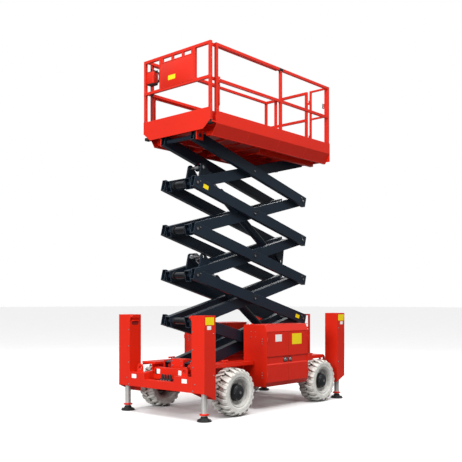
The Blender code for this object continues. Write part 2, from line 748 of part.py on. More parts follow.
def door_hinges(side, end, on_door):
    """The hinge halves: on the box below, on the door above, one barrel on the other."""
    x, y = door_hinge_line(side, end)
    web_y = pair(side, BOX_Y[1] - 0.002, BOX_Y[1] + DOOR_HINGE_STAND)
    pieces = []
    for base in DOOR_HINGES_Z:
        low = base + DOOR_HINGE_TALL + GAP if on_door else base
        span = (low, low + DOOR_HINGE_TALL)
        if on_door:
            web_x = sorted((x, x - end * 0.030))
        else:
            web_x = sorted((x + end * 0.001, x + end * (DOOR_GAP / 2 + BOX_WALL)))
        pieces.append(cylinder((x, y, span[0]), (x, y, span[1]), DOOR_HINGE_RADIUS, 8))
        pieces.append(block(web_x, web_y, span))
    return pieces


def side_box(side, side_name):
    """A sheet-steel box beside the stack, open where its two doors close it."""
    wall = BOX_WALL
    outline = box_outline(side)
    inside = (BOX_X[0] + wall, BOX_X[1] - wall)
    shell = fuse(
        "shell", RED, [prism(outline, "X", BOX_X)], [prism(inset(outline, wall), "X", inside)]
    )
    mouth = pair(side, BOX_Y[1] - BOX_FOOT_CHAMFER[0] - 0.006, BOX_Y[1] + 0.01)
    opening = block(inside, mouth, (BOX_Z[0] - 0.01, DOOR_TOP + DOOR_GAP))
    body = fuse("box_body", RED, [shell], [opening])
    deep = BOX_Y[1] - GROOVE_DEPTH - DOOR_THICK - DOOR_GAP
    post_y = pair(side, deep - 0.075, deep - 0.035)
    post_x = (DOOR_SEAM_X - 0.02, DOOR_SEAM_X + 0.02)
    pieces = [
        body,
        block(post_x, post_y, (BOX_Z[0] + wall / 2, BOX_Z[1] - wall / 2)),
        block((BOX_X[0] - SHELF_LONG, BOX_X[0] + wall / 2), pair(side, SHELF_Y, BOX_Y[1]),
              SHELF_Z),
    ]
    for end, _ in ENDS:
        pieces.extend(door_hinges(side, end, on_door=False))
    return fuse(f"side_box_{side_name}", RED, pieces)


def door(side, side_name, end, end_name):
    """One of a side box's two doors: a pressed sheet with a groove and a bevelled foot."""
    outer = BOX_Y[1]
    low = BOX_Z[0] + 0.004
    groove = outer - GROOVE_DEPTH
    line = [
        (outer - BOX_FOOT_CHAMFER[0] + 0.004, low), (outer, BOX_Z[0] + BOX_FOOT_CHAMFER[1]),
        (outer, GROOVE_Z[0]), (groove, GROOVE_Z[0] + 0.014), (groove, GROOVE_Z[1] - 0.014),
        (outer, GROOVE_Z[1]), (outer, DOOR_TOP),
    ]
    back = [(y - DOOR_THICK, z) for y, z in reversed(line)]
    outline = [(side * y, z) for y, z in line + back]
    if end > 0:
        x = (DOOR_SEAM_X + DOOR_GAP / 2, BOX_X[1] - BOX_WALL - DOOR_GAP)
    else:
        x = (BOX_X[0] + BOX_WALL + DOOR_GAP, DOOR_SEAM_X - DOOR_GAP / 2)
    pieces = [prism(outline, "X", x), *door_hinges(side, end, on_door=True)]
    item = fuse(f"door_{side_name}_{end_name}", RED, pieces)
    recentre(item, (*door_hinge_line(side, end), (low + DOOR_TOP) / 2))
    return item


def heavy_blocks():
    """The engine and the tanks, as plain blocks on the side boxes' floors."""
    floor = BOX_Z[0] + BOX_WALL + GAP
    for side, name, top, x in ((LEFT, "engine", 0.980, (-0.430, 0.180)),
                               (RIGHT, "tanks", 0.900, (-0.500, 0.250))):
        fuse(name, GREY, [block(x, pair(side, 0.450, 0.750), (floor, top))])


def beacon():
    """The warning lamp on the right side box, as a base and a dome in one turned piece."""
    dome = [
        (0.034 * math.cos(a), 0.040 + 0.034 * math.sin(a))
        for a in (math.pi / 2 * i / 4 for i in range(4))
    ]
    profile = [(0, 0), (0.042, 0), (0.042, 0.020), (0.034, 0.024), *dome, (0, 0.074)]
    piece = turned(profile, 16, Matrix.Identity(4))
    return fuse("beacon", BEACON_LENS, [piece], (), (0.250, -0.620, BOX_Z[1] + GAP))


def ladder():
    """The access ladder at the rear, standing on the rear beam's inner side."""
    x = (-1.512, -1.478)
    low = RAIL_Z[1] - 0.02 + GAP
    pieces = [block(x, (y, y + 0.022), (low, 1.405)) for y in (-0.140, 0.290)]
    for z in (0.700, 0.930, 1.160, 1.380):
        pieces.append(block((-1.508, -1.482), (-0.130, 0.300), (z, z + 0.024)))
    return fuse("ladder", RED, pieces)


def skirt_outline(side):
    """Toe board, bend and sloping lip along the platform's side, as a bent sheet."""
    outer = [
        (SKIRT_LIP[0] - 0.030, SKIRT_LIP[1]), (SKIRT_LIP[0], SKIRT_LIP[1]),
        (SKIRT_Y, SKIRT_BEND_Z), (SKIRT_Y, TOE_Z),
    ]
    t = SKIRT_THICK
    inner = [
        (SKIRT_Y - t, TOE_Z), (SKIRT_Y - t, SKIRT_BEND_Z),
        (SKIRT_LIP[0] - t / 2, SKIRT_LIP[1] + t), (SKIRT_LIP[0] - 0.030, SKIRT_LIP[1] + t),
    ]
    return [(side * y, z) for y, z in outer + inner]


def platform_deck():
    """The platform's floor with its toe boards, ribs, roller tracks and front pin lugs."""
    t = SKIRT_THICK
    inside = SKIRT_Y - t / 2
    pieces = [block((DECK_X[0] + t / 2, DECK_X[1]), (-inside, inside), DECK_Z)]
    holes = []
    for side, _ in SIDES:
        pieces.append(prism(skirt_outline(side), "X", (DECK_X[0] + t / 2, RAIL_FRONT_X + TUBE / 2)))
        pieces.extend(track(side, TOP_PIN_Z))
        spine = pair(side, RAIL[0] + 0.010, RAIL[1])
        low = TOP_PIN_Z + ROLLER_RADIUS + GAP + FLANGE_THICK / 2
        pieces.append(block((TRACK_REAR_X, DECK_X[1] - 0.002), spine, (low, DECK_Z[0] + 0.004)))
        lug = pair(side, RAIL[0] + 0.010, RAIL[0] + 0.035)
        pieces.append(block((PIN_X - 0.070, PIN_X + 0.060), lug,
                            (TOP_PIN_Z - 0.060, low + 0.01)))
        bore = pair(side, RAIL[0] - 0.01, RAIL[1] + 0.01)
        holes.append(cross_cylinder(PIN_X, TOP_PIN_Z, bore, BORE_RADIUS, step=0.5))
        pad_x = (DECK_X[1] - PAD_LONG - 0.010, DECK_X[1] - 0.010)
        pieces.append(block(pad_x, pair(side, *PAD_Y), (DECK_Z[0], EXTENSION_DECK_Z[0] - GAP)))
    pieces.extend(rear_toe_boards())
    pieces.extend(deck_ribs())
    return fuse("platform_deck", RED, pieces, holes)


def rear_toe_boards():
    """The plate under the rear guardrail, low across the gate."""
    x = (DECK_X[0], DECK_X[0] + SKIRT_THICK)
    gate = (GATE_HINGE_Y, RAIL_LINE_Y - TUBE / 2 - 0.002)
    return [
        block(x, (-SKIRT_Y, SKIRT_Y), (SKIRT_LIP[1] + 0.03, DECK_Z[1])),
        block(x, (-SKIRT_Y, gate[0] - 0.02), (DECK_Z[0], TOE_Z)),
        block(x, (gate[1], SKIRT_Y), (DECK_Z[0], TOE_Z)),
    ]


def deck_ribs():
    """Cross ribs: shallow between the tracks, where the arms come close, deeper outside."""
    pieces = []
    count = 8
    first, last = DECK_X[0] + 0.150, RAIL_FRONT_X - 0.090
    high = DECK_Z[0] + 0.004
    shallow = TOP_PIN_Z + math.hypot(ARM_TIP, ARM_DEPTH / 2) + CLEAR
    for i in range(count):
        x = first + (last - first) * i / (count - 1)
        span = (x - RIB_THICK / 2, x + RIB_THICK / 2)
        pieces.append(block(span, (-RAIL[1] + 0.02, RAIL[1] - 0.02), (shallow, high)))
        for side, _ in SIDES:
            outline = [
                (side * (RAIL[1] - 0.01), RIB_Z), (side * 0.612, RIB_Z),
                (side * (SKIRT_Y - 0.004), SKIRT_BEND_Z), (side * (SKIRT_Y - 0.004), high),
                (side * (RAIL[1] - 0.01), high),
            ]
            pieces.append(prism(outline, "X", span))
    return pieces


def tube_x(x, y, z):
    half = TUBE / 2
    return block(x, (y - half, y + half), (z - half, z + half))


def tube_y(x, y, z):
    half = TUBE / 2
    return block((x - half, x + half), y, (z - half, z + half))


def post(x, y, z):
    half = TUBE / 2
    return block((x - half, x + half), (y - half, y + half), z)


def gate_hinges(x, on_gate):
    """The gate's hinge halves on its vertical axis: the post's below, the gate's above."""
    pieces = []
    for base in GATE_HINGES_Z:
        low = base + GATE_HINGE_TALL + GAP if on_gate else base
        span = (low, low + GATE_HINGE_TALL)
        y = GATE_HINGE_Y
        web_y = (y, y + GATE_HINGE_RADIUS + CLEAR + 0.004) if on_gate else (GATE_POST_Y + TUBE / 2 - 0.002, y)
        pieces.append(cylinder((x, y, span[0]), (x, y, span[1]), GATE_HINGE_RADIUS, 8))
        pieces.append(block((x - 0.005, x + 0.005), web_y, span))
    return pieces


def guardrail(side, side_name):
    """Posts, top rail and mid rail along one side; the right one turns along the rear."""
    half = TUBE / 2
    tall = (DECK_Z[1] + GAP, RAIL_TOP_Z)
    rear = DECK_X[0] + SKIRT_THICK + GAP + half
    y = side * (RAIL_LINE_Y - 0.005)
    pieces = [post(x, y, tall) for x in (rear, RAIL_MID_X, RAIL_FRONT_X)]
    for z in (RAIL_TOP_Z - half, MID_RAIL_Z):
        pieces.append(tube_x((rear, RAIL_FRONT_X), y, z))
    if side == RIGHT:
        pieces.append(post(rear, GATE_POST_Y, tall))
        for z in (RAIL_TOP_Z - half, REAR_MID_RAIL_Z):
            pieces.append(tube_y(rear, (y, GATE_POST_Y), z))
        pieces.extend(gate_hinges(rear, on_gate=False))
    return fuse(f"guardrail_{side_name}", RED, pieces)


def gate():
    """The entry gate at the rear left: it swings inwards on the post by it."""
    half = TUBE / 2
    x = DECK_X[0] + SKIRT_THICK + GAP + half
    hinge = (x, GATE_HINGE_Y, (DECK_Z[1] + RAIL_TOP_Z) / 2)
    edge = (GATE_HINGE_Y + GATE_HINGE_RADIUS + CLEAR, RAIL_LINE_Y - 0.005 - half - CLEAR)
    low = DECK_Z[1] + 0.010
    pieces = [
        block((x - 0.015, x + 0.015), (edge[0], edge[0] + 0.030), (low, RAIL_TOP_Z)),
        block((x - 0.015, x + 0.015), (edge[1] - 0.030, edge[1]), (low, RAIL_TOP_Z)),
        block((x - 0.002, x + 0.002), (edge[0] + 0.01, edge[1] - 0.01), (low, TOE_Z)),
    ]
    for z in (RAIL_TOP_Z - 0.015, REAR_MID_RAIL_Z):
        pieces.append(block((x - 0.014, x + 0.014), (edge[0] + 0.01, edge[1] - 0.01),
                            (z - 0.014, z + 0.014)))
    pieces.extend(gate_hinges(x, on_gate=True))
    item = fuse("gate", RED, pieces)
    recentre(item, hinge)
    return item


def extension_deck():
    """The roll-out deck with its side toe boards and the end plate across the front."""
    front = END_PLATE_X
    wide = EXTENSION_RAIL[0] - GAP
    foot, top = END_TOE_Z
    across, up = END_TOE_CUT
    end_plate = [
        (-SKIRT_Y, top), (-SKIRT_Y, foot + up), (across - SKIRT_Y, foot),
        (SKIRT_Y - across, foot), (SKIRT_Y, foot + up), (SKIRT_Y, top),
    ]
    pieces = [
        block((EXTENSION_REAR_X, front - 0.002), (-wide, wide), EXTENSION_DECK_Z),
        prism(end_plate, "X", (front - SKIRT_THICK, front)),
    ]
    for side, _ in SIDES:
        pieces.append(block((EXTENSION_REAR_X, front - 0.002), pair(side, wide - 0.006, wide),
                            (EXTENSION_DECK_Z[0], TOE_Z + 0.010)))
        pad_x = (EXTENSION_REAR_X, EXTENSION_REAR_X + PAD_LONG)
        pieces.append(block(pad_x, pair(side, *PAD_Y), (DECK_Z[1] + GAP, EXTENSION_DECK_Z[1])))
    return fuse("extension_deck", RED, pieces)


def extension_guardrail():
    """The frame at the extension's end, its sheet panel and its two side rails."""
    half = TUBE / 2
    inner, outer = EXTENSION_RAIL
    low = DECK_Z[1] + CLEAR
    x = END_PLATE_X - SKIRT_THICK - GAP - half
    pieces = []
    for side, _ in SIDES:
        pieces.append(post(x, side * RAIL_LINE_Y, (low, RAIL_TOP_Z)))
        for z in (RAIL_TOP_Z - half, EXTENSION_MID_Z):
            rail = block((EXTENSION_REAR_X, x), pair(side, inner, outer), (z - half, z + half))
            pieces.append(rail)
            corner = pair(side, inner, RAIL_LINE_Y)
            pieces.append(block((x - half, x + half), corner, (z - half, z + half)))
        rear = (EXTENSION_REAR_X, EXTENSION_REAR_X + TUBE)
        pieces.append(block(rear, pair(side, inner, outer), (EXTENSION_DECK_Z[0], EXTENSION_MID_Z)))
    for y in (PANEL_Y[0] - half, PANEL_Y[1] + half):
        pieces.append(post(x, y, (EXTENSION_MID_Z, RAIL_TOP_Z)))
    for z in (RAIL_TOP_Z - half, EXTENSION_MID_Z):
        pieces.append(tube_y(x, (-RAIL_LINE_Y, RAIL_LINE_Y), z))
    panel_y = (PANEL_Y[0] - 0.01, PANEL_Y[1] + 0.01)
    pieces.append(block((x - 0.002, x + 0.002), panel_y, (EXTENSION_MID_Z, PANEL_Z)))
    return fuse("extension_guardrail", RED, pieces)


def control_box():
    """The platform controls, hung on the end frame's right corner post."""
    half = TUBE / 2
    x = END_PLATE_X - SKIRT_THICK - GAP - half
    edge = -(RAIL_LINE_Y - half - GAP)
    back = RAIL_FRONT_X + half + CLEAR
    high = CONTROL_BOX_Z[1]
    body = block((back, x + 0.010), (edge, edge + CONTROL_BOX_WIDE), CONTROL_BOX_Z)
    stick = (back + 0.040, edge + CONTROL_BOX_WIDE / 2)
    lever = cylinder((*stick, high - 0.010), (*stick, high + 0.060), 0.012)
    return fuse("control_box", BLACK, [body, lever])


def build():
    clear_scene()
    chassis_frame()
    for end, end_name in ENDS:
        for side, side_name in SIDES:
            outrigger(end, end_name, side, side_name)
            leg(end, end_name, side, side_name)
            axle = FRONT_AXLE_X if end > 0 else REAR_AXLE_X
            wheel(axle, end_name, side, side_name)
            door(side, side_name, end, end_name)
    for side, side_name in SIDES:
        side_box(side, side_name)
        knuckle(side, side_name)
    front_axle()
    rear_axle()
    heavy_blocks()
    beacon()
    ladder()
    for stage in range(1, STAGES + 1):
        inner_frame(stage)
        outer_frame(stage)
    lift_cylinder("lower_cylinder", 1, hinged_at_base=True)
    lift_cylinder("upper_cylinder", 3, hinged_at_base=False)
    platform_deck()
    for side, side_name in SIDES:
        guardrail(side, side_name)
    gate()
    extension_deck()
    extension_guardrail()
    control_box()


build()
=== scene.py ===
"""Looks for a rough-terrain scissor lift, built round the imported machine.

Every length is in metres, in the machine's own frame: +X front, +Y left, +Z up.
"""

import json
import logging
import math
from collections.abc import Iterable, Sequence
from dataclasses import dataclass, field
from enum import Enum

import bmesh
import bpy
from mathutils import Matrix, Vector


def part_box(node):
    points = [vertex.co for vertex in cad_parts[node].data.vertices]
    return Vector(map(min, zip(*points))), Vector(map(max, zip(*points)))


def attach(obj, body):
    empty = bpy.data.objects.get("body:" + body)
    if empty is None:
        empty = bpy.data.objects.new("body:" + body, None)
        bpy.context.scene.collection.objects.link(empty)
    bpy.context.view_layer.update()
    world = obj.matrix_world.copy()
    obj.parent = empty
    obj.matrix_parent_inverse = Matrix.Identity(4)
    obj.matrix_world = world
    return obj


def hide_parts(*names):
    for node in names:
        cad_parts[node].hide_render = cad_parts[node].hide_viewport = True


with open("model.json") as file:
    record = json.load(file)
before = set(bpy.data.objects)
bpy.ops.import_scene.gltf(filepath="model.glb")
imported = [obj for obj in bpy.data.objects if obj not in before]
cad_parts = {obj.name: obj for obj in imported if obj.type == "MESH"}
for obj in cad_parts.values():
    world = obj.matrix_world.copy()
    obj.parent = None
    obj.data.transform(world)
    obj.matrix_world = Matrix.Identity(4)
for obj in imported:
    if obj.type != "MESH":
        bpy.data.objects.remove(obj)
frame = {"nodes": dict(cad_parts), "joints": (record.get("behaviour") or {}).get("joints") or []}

log = logging.getLogger("scissor_lift")
MM = 0.001
LABEL_LIFT = 0.0006  # a label's middle, off the surface it sticks to
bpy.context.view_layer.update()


class Side(Enum):
    """The machine's two sides, by the sign of Y."""

    LEFT = 1
    RIGHT = -1

    @property
    def word(self) -> str:
        """The side's name in a node or body."""
        return self.name.lower()


class End(Enum):
    """The machine's two ends, by the sign of X."""

    FRONT = 1
    REAR = -1

    @property
    def word(self) -> str:
        """The end's name in a node or body."""
        return self.name.lower()


# ---------------------------------------------------------------- colours and nodes


def linear(code: str) -> tuple[float, float, float, float]:
    """Turn an sRGB hex colour to linear light.

    Args:
        code: six hex digits, with or without a leading hash.

    Returns:
        Red, green, blue and an alpha of one.
    """
    digits = code.lstrip("#")
    parts = [int(digits[i : i + 2], 16) / 255 for i in (0, 2, 4)]
    light = [c / 12.92 if c <= 0.04045 else ((c + 0.055) / 1.055) ** 2.4 for c in parts]
    return (*light, 1.0)


def add_node(
    tree: bpy.types.NodeTree,
    kind: str,
    settings: dict | None = None,
    values: dict | None = None,
    links: dict | None = None,
) -> bpy.types.Node:
    """Add a shader node with its settings, socket values and incoming links.

    Args:
        tree: the material's node tree.
        kind: the node's type.
        settings: properties of the node itself.
        values: input socket values by socket name or number.
        links: output sockets by the input's name or number.

    Returns:
        The new node.
    """
    made = tree.nodes.new(kind)
    for name, value in (settings or {}).items():
        setattr(made, name, value)
    for name, value in (values or {}).items():
        made.inputs[name].default_value = value
    for name, source in (links or {}).items():
        tree.links.new(source, made.inputs[name])
    return made


@dataclass(frozen=True)
class Finish:
    """A real material and how its surface was made."""

    name: str
    colour: str
    roughness: float
    metallic: float = 0.0
    mottle: str = ""  # a second colour that wanders through the first
    mottle_mm: float = 400.0
    mottle_share: float = 0.5
    grain_mm: float = 2.0  # spacing of the surface texture
    grain_height_mm: float = 0.02
    stretch: tuple[float, float, float] = (1.0, 1.0, 1.0)  # draws the grain out into scratches
    edge: str = ""  # a lighter colour painted on rounded edges as a painted highlight
    edge_mm: float = 3.0
    coat: float = 0.0
    rough_swing: float = 0.06
    groove_shade: str = ""  # a darker colour painted into grooves and steps as painted shade, where ambient occlusion finds them
    groove_shade_mm: float = 30.0
    specular: float = 0.5

    def material(self) -> bpy.types.Material:
        """The finish as a node material, made the first time it is asked for."""
        found = bpy.data.materials.get(self.name)
        return found or self._build()

    def _build(self) -> bpy.types.Material:
        """Make the node tree."""
        made = bpy.data.materials.new(self.name)
        made.use_nodes = True
        tree = made.node_tree
        shader = tree.nodes["Principled BSDF"]
        shader.inputs["Metallic"].default_value = self.metallic
        shader.inputs["Specular IOR Level"].default_value = self.specular
        shader.inputs["Coat Weight"].default_value = self.coat
        shader.inputs["Coat Roughness"].default_value = 0.12
        place = add_node(tree, "ShaderNodeTexCoord").outputs["Object"]
        colour = self._colour(tree, place)
        tree.links.new(colour, shader.inputs["Base Color"])
        grain = self._grain(tree, place)
        swing = add_node(
            tree, "ShaderNodeMapRange",
            values={"To Min": self.roughness - self.rough_swing,
                    "To Max": self.roughness + self.rough_swing},
            links={"Value": grain},
        )
        tree.links.new(swing.outputs["Result"], shader.inputs["Roughness"])
        bump_links = {"Height": grain}
        if self.edge:
            soft = add_node(tree, "ShaderNodeBevel", {"samples": 4},
                            {"Radius": self.edge_mm * MM})
            bump_links["Normal"] = soft.outputs["Normal"]
        bump = add_node(
            tree, "ShaderNodeBump",
            values={"Strength": 1.0, "Distance": self.grain_height_mm * MM},
            links=bump_links,
        )
        tree.links.new(bump.outputs["Normal"], shader.inputs["Normal"])
        return made

    def _grain(self, tree: bpy.types.NodeTree, place: bpy.types.NodeSocket) -> bpy.types.NodeSocket:
        """The fine texture that bump and roughness both follow."""
        mapping = add_node(tree, "ShaderNodeMapping", values={"Scale": self.stretch},
                           links={"Vector": place})
        noise = add_node(
            tree, "ShaderNodeTexNoise",
            values={"Scale": 1 / (self.grain_mm * MM), "Detail": 3.0, "Roughness": 0.55},
            links={"Vector": mapping.outputs["Vector"]},
        )
        return noise.outputs["Fac"]

    def _colour(
        self, tree: bpy.types.NodeTree, place: bpy.types.NodeSocket
    ) -> bpy.types.NodeSocket:
        """Base colour with its slow change across the piece, painted shade in its grooves and a
        painted highlight on its edges.
        """
        second = self.mottle or self.colour
        noise = add_node(
            tree, "ShaderNodeTexNoise",
            values={"Scale": 1 / (self.mottle_mm * MM), "Detail": 5.0, "Roughness": 0.6},
            links={"Vector": place},
        )
        share = add_node(
            tree, "ShaderNodeMapRange",
            values={"From Min": 0.35, "From Max": 0.68, "To Max": self.mottle_share},
            links={"Value": noise.outputs["Fac"]},
        )
        mixed = add_node(
            tree, "ShaderNodeMix", {"data_type": "RGBA"},
            {"A": linear(self.colour), "B": linear(second)},
            {"Factor": share.outputs["Result"]},
        )
        # Painted shade: the groove colour is mixed in where ambient occlusion finds a nearby
        # surface.
        if self.groove_shade:
            shade_ao = add_node(tree, "ShaderNodeAmbientOcclusion", {"samples": 6},
                                {"Distance": self.groove_shade_mm * MM})
            shade_share = add_node(tree, "ShaderNodeMapRange",
                             values={"From Min": 0.85, "From Max": 0.45},
                             links={"Value": shade_ao.outputs["AO"]})
            mixed = add_node(tree, "ShaderNodeMix", {"data_type": "RGBA"},
                             {"B": linear(self.groove_shade)},
                             {"Factor": shade_share.outputs["Result"], "A": mixed.outputs["Result"]})
        if not self.edge:
            return mixed.outputs["Result"]
        # Painted highlight: a lighter colour on rounded edges, where the bevel normal turns away
        # from the flat normal.
        soft = add_node(tree, "ShaderNodeBevel", {"samples": 4}, {"Radius": self.edge_mm * MM})
        flat = add_node(tree, "ShaderNodeNewGeometry")
        turn = add_node(
            tree, "ShaderNodeVectorMath", {"operation": "DOT_PRODUCT"},
            links={0: soft.outputs["Normal"], 1: flat.outputs["Normal"]},
        )
        edge_highlight_share = add_node(
            tree, "ShaderNodeMapRange",
            values={"From Min": 0.98, "From Max": 0.85, "To Max": 0.8},
            links={"Value": turn.outputs["Value"]},
        )
        edged = add_node(
            tree, "ShaderNodeMix", {"data_type": "RGBA"}, {"B": linear(self.edge)},
            {"Factor": edge_highlight_share.outputs["Result"], "A": mixed.outputs["Result"]},
        )
        return edged.outputs["Result"]


# Gloss polyester powder coat on steel: even colour, a faint orange peel, and thin bright edges that
# are a painted highlight.
RED_COAT = Finish(
    "polyester_powder_coat_red", "#E02409", 0.40, mottle="#D31F0B", mottle_mm=700,
    grain_mm=5.0, grain_height_mm=0.05, edge="#EE5230", edge_mm=3.0, coat=0.08, specular=0.35,
)
# Brushed-on enamel over cast and welded axle parts: deeper, dustier red.
AXLE_ENAMEL = Finish(
    "axle_enamel_dark_red", "#8E150E", 0.5, mottle="#5E1410", mottle_mm=120,
    grain_mm=4.0, grain_height_mm=0.08,
)
# Satin two-pack paint on rolled tube: blue-black, with a pale grey painted highlight along the
# edges.
ARM_COAT = Finish(
    "satin_two_pack_paint_blue_black", "#16222E", 0.42, mottle="#1D2A37", mottle_mm=500,
    grain_mm=4.0, grain_height_mm=0.04, edge="#66717C", edge_mm=3.0, specular=0.3,
)
# Non-marking natural rubber filled with silica: chalky off-white, greyed by dust, with painted
# shade darkening the grooves between the cleats.
PALE_RUBBER = Finish(
    "non_marking_silica_rubber", "#ECEAE4", 0.86, mottle="#BDB9B0", mottle_mm=70,
    mottle_share=0.5, grain_mm=6.0, grain_height_mm=0.35, rough_swing=0.08,
    groove_shade="#3B3936", groove_shade_mm=36.0,
)
# Stove enamel on pressed wheel steel: off-white and dusty in patches, with painted shade darkening
# the steps and a painted highlight on the edges.
RIM_ENAMEL = Finish(
    "stove_enamel_off_white", "#DCDAD4", 0.4, mottle="#A9A69F", mottle_mm=60,
    mottle_share=0.5, grain_mm=4.0, grain_height_mm=0.05, edge="#EFEEEA",
    groove_shade="#6B6862", groove_shade_mm=40.0,
)
# Painted grey iron casting: sand texture under black paint, with a grey painted highlight on the
# edges.
BLACK_IRON = Finish(
    "painted_grey_iron_black", "#141619", 0.46, mottle="#22252A", mottle_mm=40,
    grain_mm=2.5, grain_height_mm=0.15, edge="#3A3F45", edge_mm=2.0,
)
# Centreless-ground steel bar: bright, with fine marks along its length.
GROUND_STEEL = Finish(
    "ground_steel_bar", "#D4D3CF", 0.34, 0.4, mottle="#B9B6AF", mottle_mm=60,
    grain_mm=1.5, grain_height_mm=0.01, stretch=(1.0, 1.0, 0.06),
)
# Oiled black-oxide steel tube: dark, with bright lines where it turns to the light.
BLACKED_STEEL = Finish(
    "black_oxide_steel_tube", "#4A4D51", 0.24, 1.0, mottle="#33363A", mottle_mm=70,
    grain_mm=1.5, grain_height_mm=0.01, stretch=(1.0, 0.06, 1.0),
)
# Hard chrome on a cylinder rod: mirror-like with a light oil film.
HARD_CHROME = Finish(
    "hard_chrome_plate", "#D5D6D8", 0.12, 1.0, mottle="#BDBEC0", mottle_mm=90,
    grain_mm=1.5, grain_height_mm=0.004, rough_swing=0.04,
)
# Zinc-plated fasteners: pale grey metal with a dull bloom.
ZINC_PLATE = Finish(
    "zinc_plated_steel", "#B4B6B8", 0.38, 1.0, mottle="#8F9193", mottle_mm=8,
    grain_mm=1.2, grain_height_mm=0.02,
)
# Glass-filled nylon mouldings: matt black with a spark-eroded grain.
BLACK_NYLON = Finish(
    "moulded_nylon_black", "#121315", 0.55, mottle="#1C1D20", mottle_mm=30,
    grain_mm=1.5, grain_height_mm=0.05,
)
# Cast vinyl film: flat, clean colour under a thin gloss laminate.
YELLOW_VINYL = Finish(
    "cast_vinyl_film_yellow", "#FFE406", 0.32, mottle="#F9D800", mottle_mm=60,
    grain_mm=3.0, grain_height_mm=0.01, coat=0.2,
)
WHITE_VINYL = Finish(
    "cast_vinyl_film_white", "#FFFFFC", 0.35, mottle="#F4F4F0", mottle_mm=50,
    grain_mm=3.0, grain_height_mm=0.01, coat=0.2,
)
# Injection-moulded polycarbonate lens: deep red and glossy, prism ribs behind.
LENS = Finish(
    "polycarbonate_lens_red", "#8A0F10", 0.14, mottle="#5A0708", mottle_mm=14,
    grain_mm=5.0, grain_height_mm=0.2, coat=0.8,
)
# Painted engine and tank castings: mid grey with oil-darkened patches.
GREY_IRON = Finish(
    "painted_iron_grey", "#5B5F63", 0.55, mottle="#3B3D40", mottle_mm=70,
    mottle_share=0.8, grain_mm=3.0, grain_height_mm=0.2,
)
# Rolled aluminium floor plate: bright, scuffed by boots.
FLOOR_ALUMINIUM = Finish(
    "rolled_aluminium_plate", "#B9BABB", 0.42, 1.0, mottle="#8C8D8E", mottle_mm=150,
    grain_mm=3.0, grain_height_mm=0.03,
)
# Vulcanised black rubber for pads and grips.
BLACK_RUBBER = Finish(
    "vulcanised_black_rubber", "#161718", 0.75, mottle="#2A2A29", mottle_mm=30,
    grain_mm=2.0, grain_height_mm=0.08,
)
STUDIO_FLOOR = Finish(
    "matt_studio_board", "#FFFFFF", 0.95, mottle="#FBFBFB", mottle_mm=900,
    grain_mm=4.0, grain_height_mm=0.01,
)


# ---------------------------------------------------------------- modelling by hand


def deselect() -> None:
    """Leave every object unselected, in object mode."""
    if bpy.context.object and bpy.context.object.mode != "OBJECT":
        bpy.ops.object.mode_set(mode="OBJECT")
    bpy.ops.object.select_all(action="DESELECT")


def apply_place(item: bpy.types.Object) -> None:
    """Bake an object's own place and turn into its mesh."""
    deselect()
    item.select_set(True)
    bpy.context.view_layer.objects.active = item
    bpy.ops.object.transform_apply(location=True, rotation=True, scale=True)


def edit(item: bpy.types.Object, mode: str = "EDGE") -> None:
    """Open one object in edit mode with nothing selected in it."""
    deselect()
    item.select_set(True)
    bpy.context.view_layer.objects.active = item
    bpy.ops.object.mode_set(mode="EDIT")
    bpy.ops.mesh.select_mode(type=mode)
    bpy.ops.mesh.select_all(action="DESELECT")


def leave() -> None:
    """Go back to object mode."""
    bpy.ops.object.mode_set(mode="OBJECT")


def block(
    low: Sequence[float],
    high: Sequence[float],
    bevel: float = 0.0015,
    axis: str = "",
    segments: int = 2,
) -> bpy.types.Object:
    """A cube shaped to two corners, with its edges rounded.

    Args:
        low: one corner.
        high: the opposite corner.
        bevel: the edges' rounding.
        axis: round only the edges along this axis, as on a plate's corners.
        segments: steps in the rounding.

    Returns:
        The object, its place in its mesh.
    """
    deselect()
    a, b = Vector(low), Vector(high)
    bpy.ops.mesh.primitive_cube_add(size=1, location=(a + b) / 2)
    item = bpy.context.object
    item.scale = [abs(v) for v in b - a]
    apply_place(item)
    if not bevel:
        return item
    edit(item)
    shape = bmesh.from_edit_mesh(item.data)
    number = "XYZ".find(axis) if axis else -1
    for edge in shape.edges:
        run = edge.verts[1].co - edge.verts[0].co
        edge.select = number < 0 or abs(run[number]) > 0.9 * run.length
    bmesh.update_edit_mesh(item.data)
    bpy.ops.mesh.bevel(offset=bevel, segments=segments, affect="EDGES")
    leave()
    return item


def turned(
    profile: Sequence[tuple[float, float]],
    sides: int = 32,
    closed: bool = False,
) -> bpy.types.Object:
    """A circle drawn up along +Z and scaled ring by ring, as on a lathe.

    Args:
        profile: (radius, height) of each ring; a zero radius ends in a point.
        sides: steps round the axis.
        closed: joins the last ring back to the first, for a hollow section.

    Returns:
        The object at the origin, its normals outwards.
    """
    deselect()
    radius, height = profile[0]
    begin = "NOTHING" if closed or len(profile) < 2 else "NGON"
    bpy.ops.mesh.primitive_circle_add(
        vertices=sides, radius=max(radius, 1e-4), fill_type=begin, location=(0, 0, height)
    )
    item = bpy.context.object
    apply_place(item)
    edit(item)
    bpy.ops.mesh.select_all(action="SELECT")
    last = max(radius, 1e-4)
    for ring, level in profile[1:]:
        bpy.ops.mesh.extrude_edges_move(TRANSFORM_OT_translate={"value": (0, 0, level - height)})
        scale = max(ring, 1e-4) / last
        bpy.ops.transform.resize(value=(scale, scale, 1.0))
        last, height = max(ring, 1e-4), level
    if closed:
        shape = bmesh.from_edit_mesh(item.data)
        for edge in shape.edges:
            edge.select = edge.is_boundary
        bmesh.update_edit_mesh(item.data)
        bpy.ops.mesh.bridge_edge_loops()
    else:
        bpy.ops.mesh.edge_face_add()
    bpy.ops.mesh.select_all(action="SELECT")
    bpy.ops.mesh.remove_doubles(threshold=1e-6)
    bpy.ops.mesh.normals_make_consistent(inside=False)
    leave()
    return item


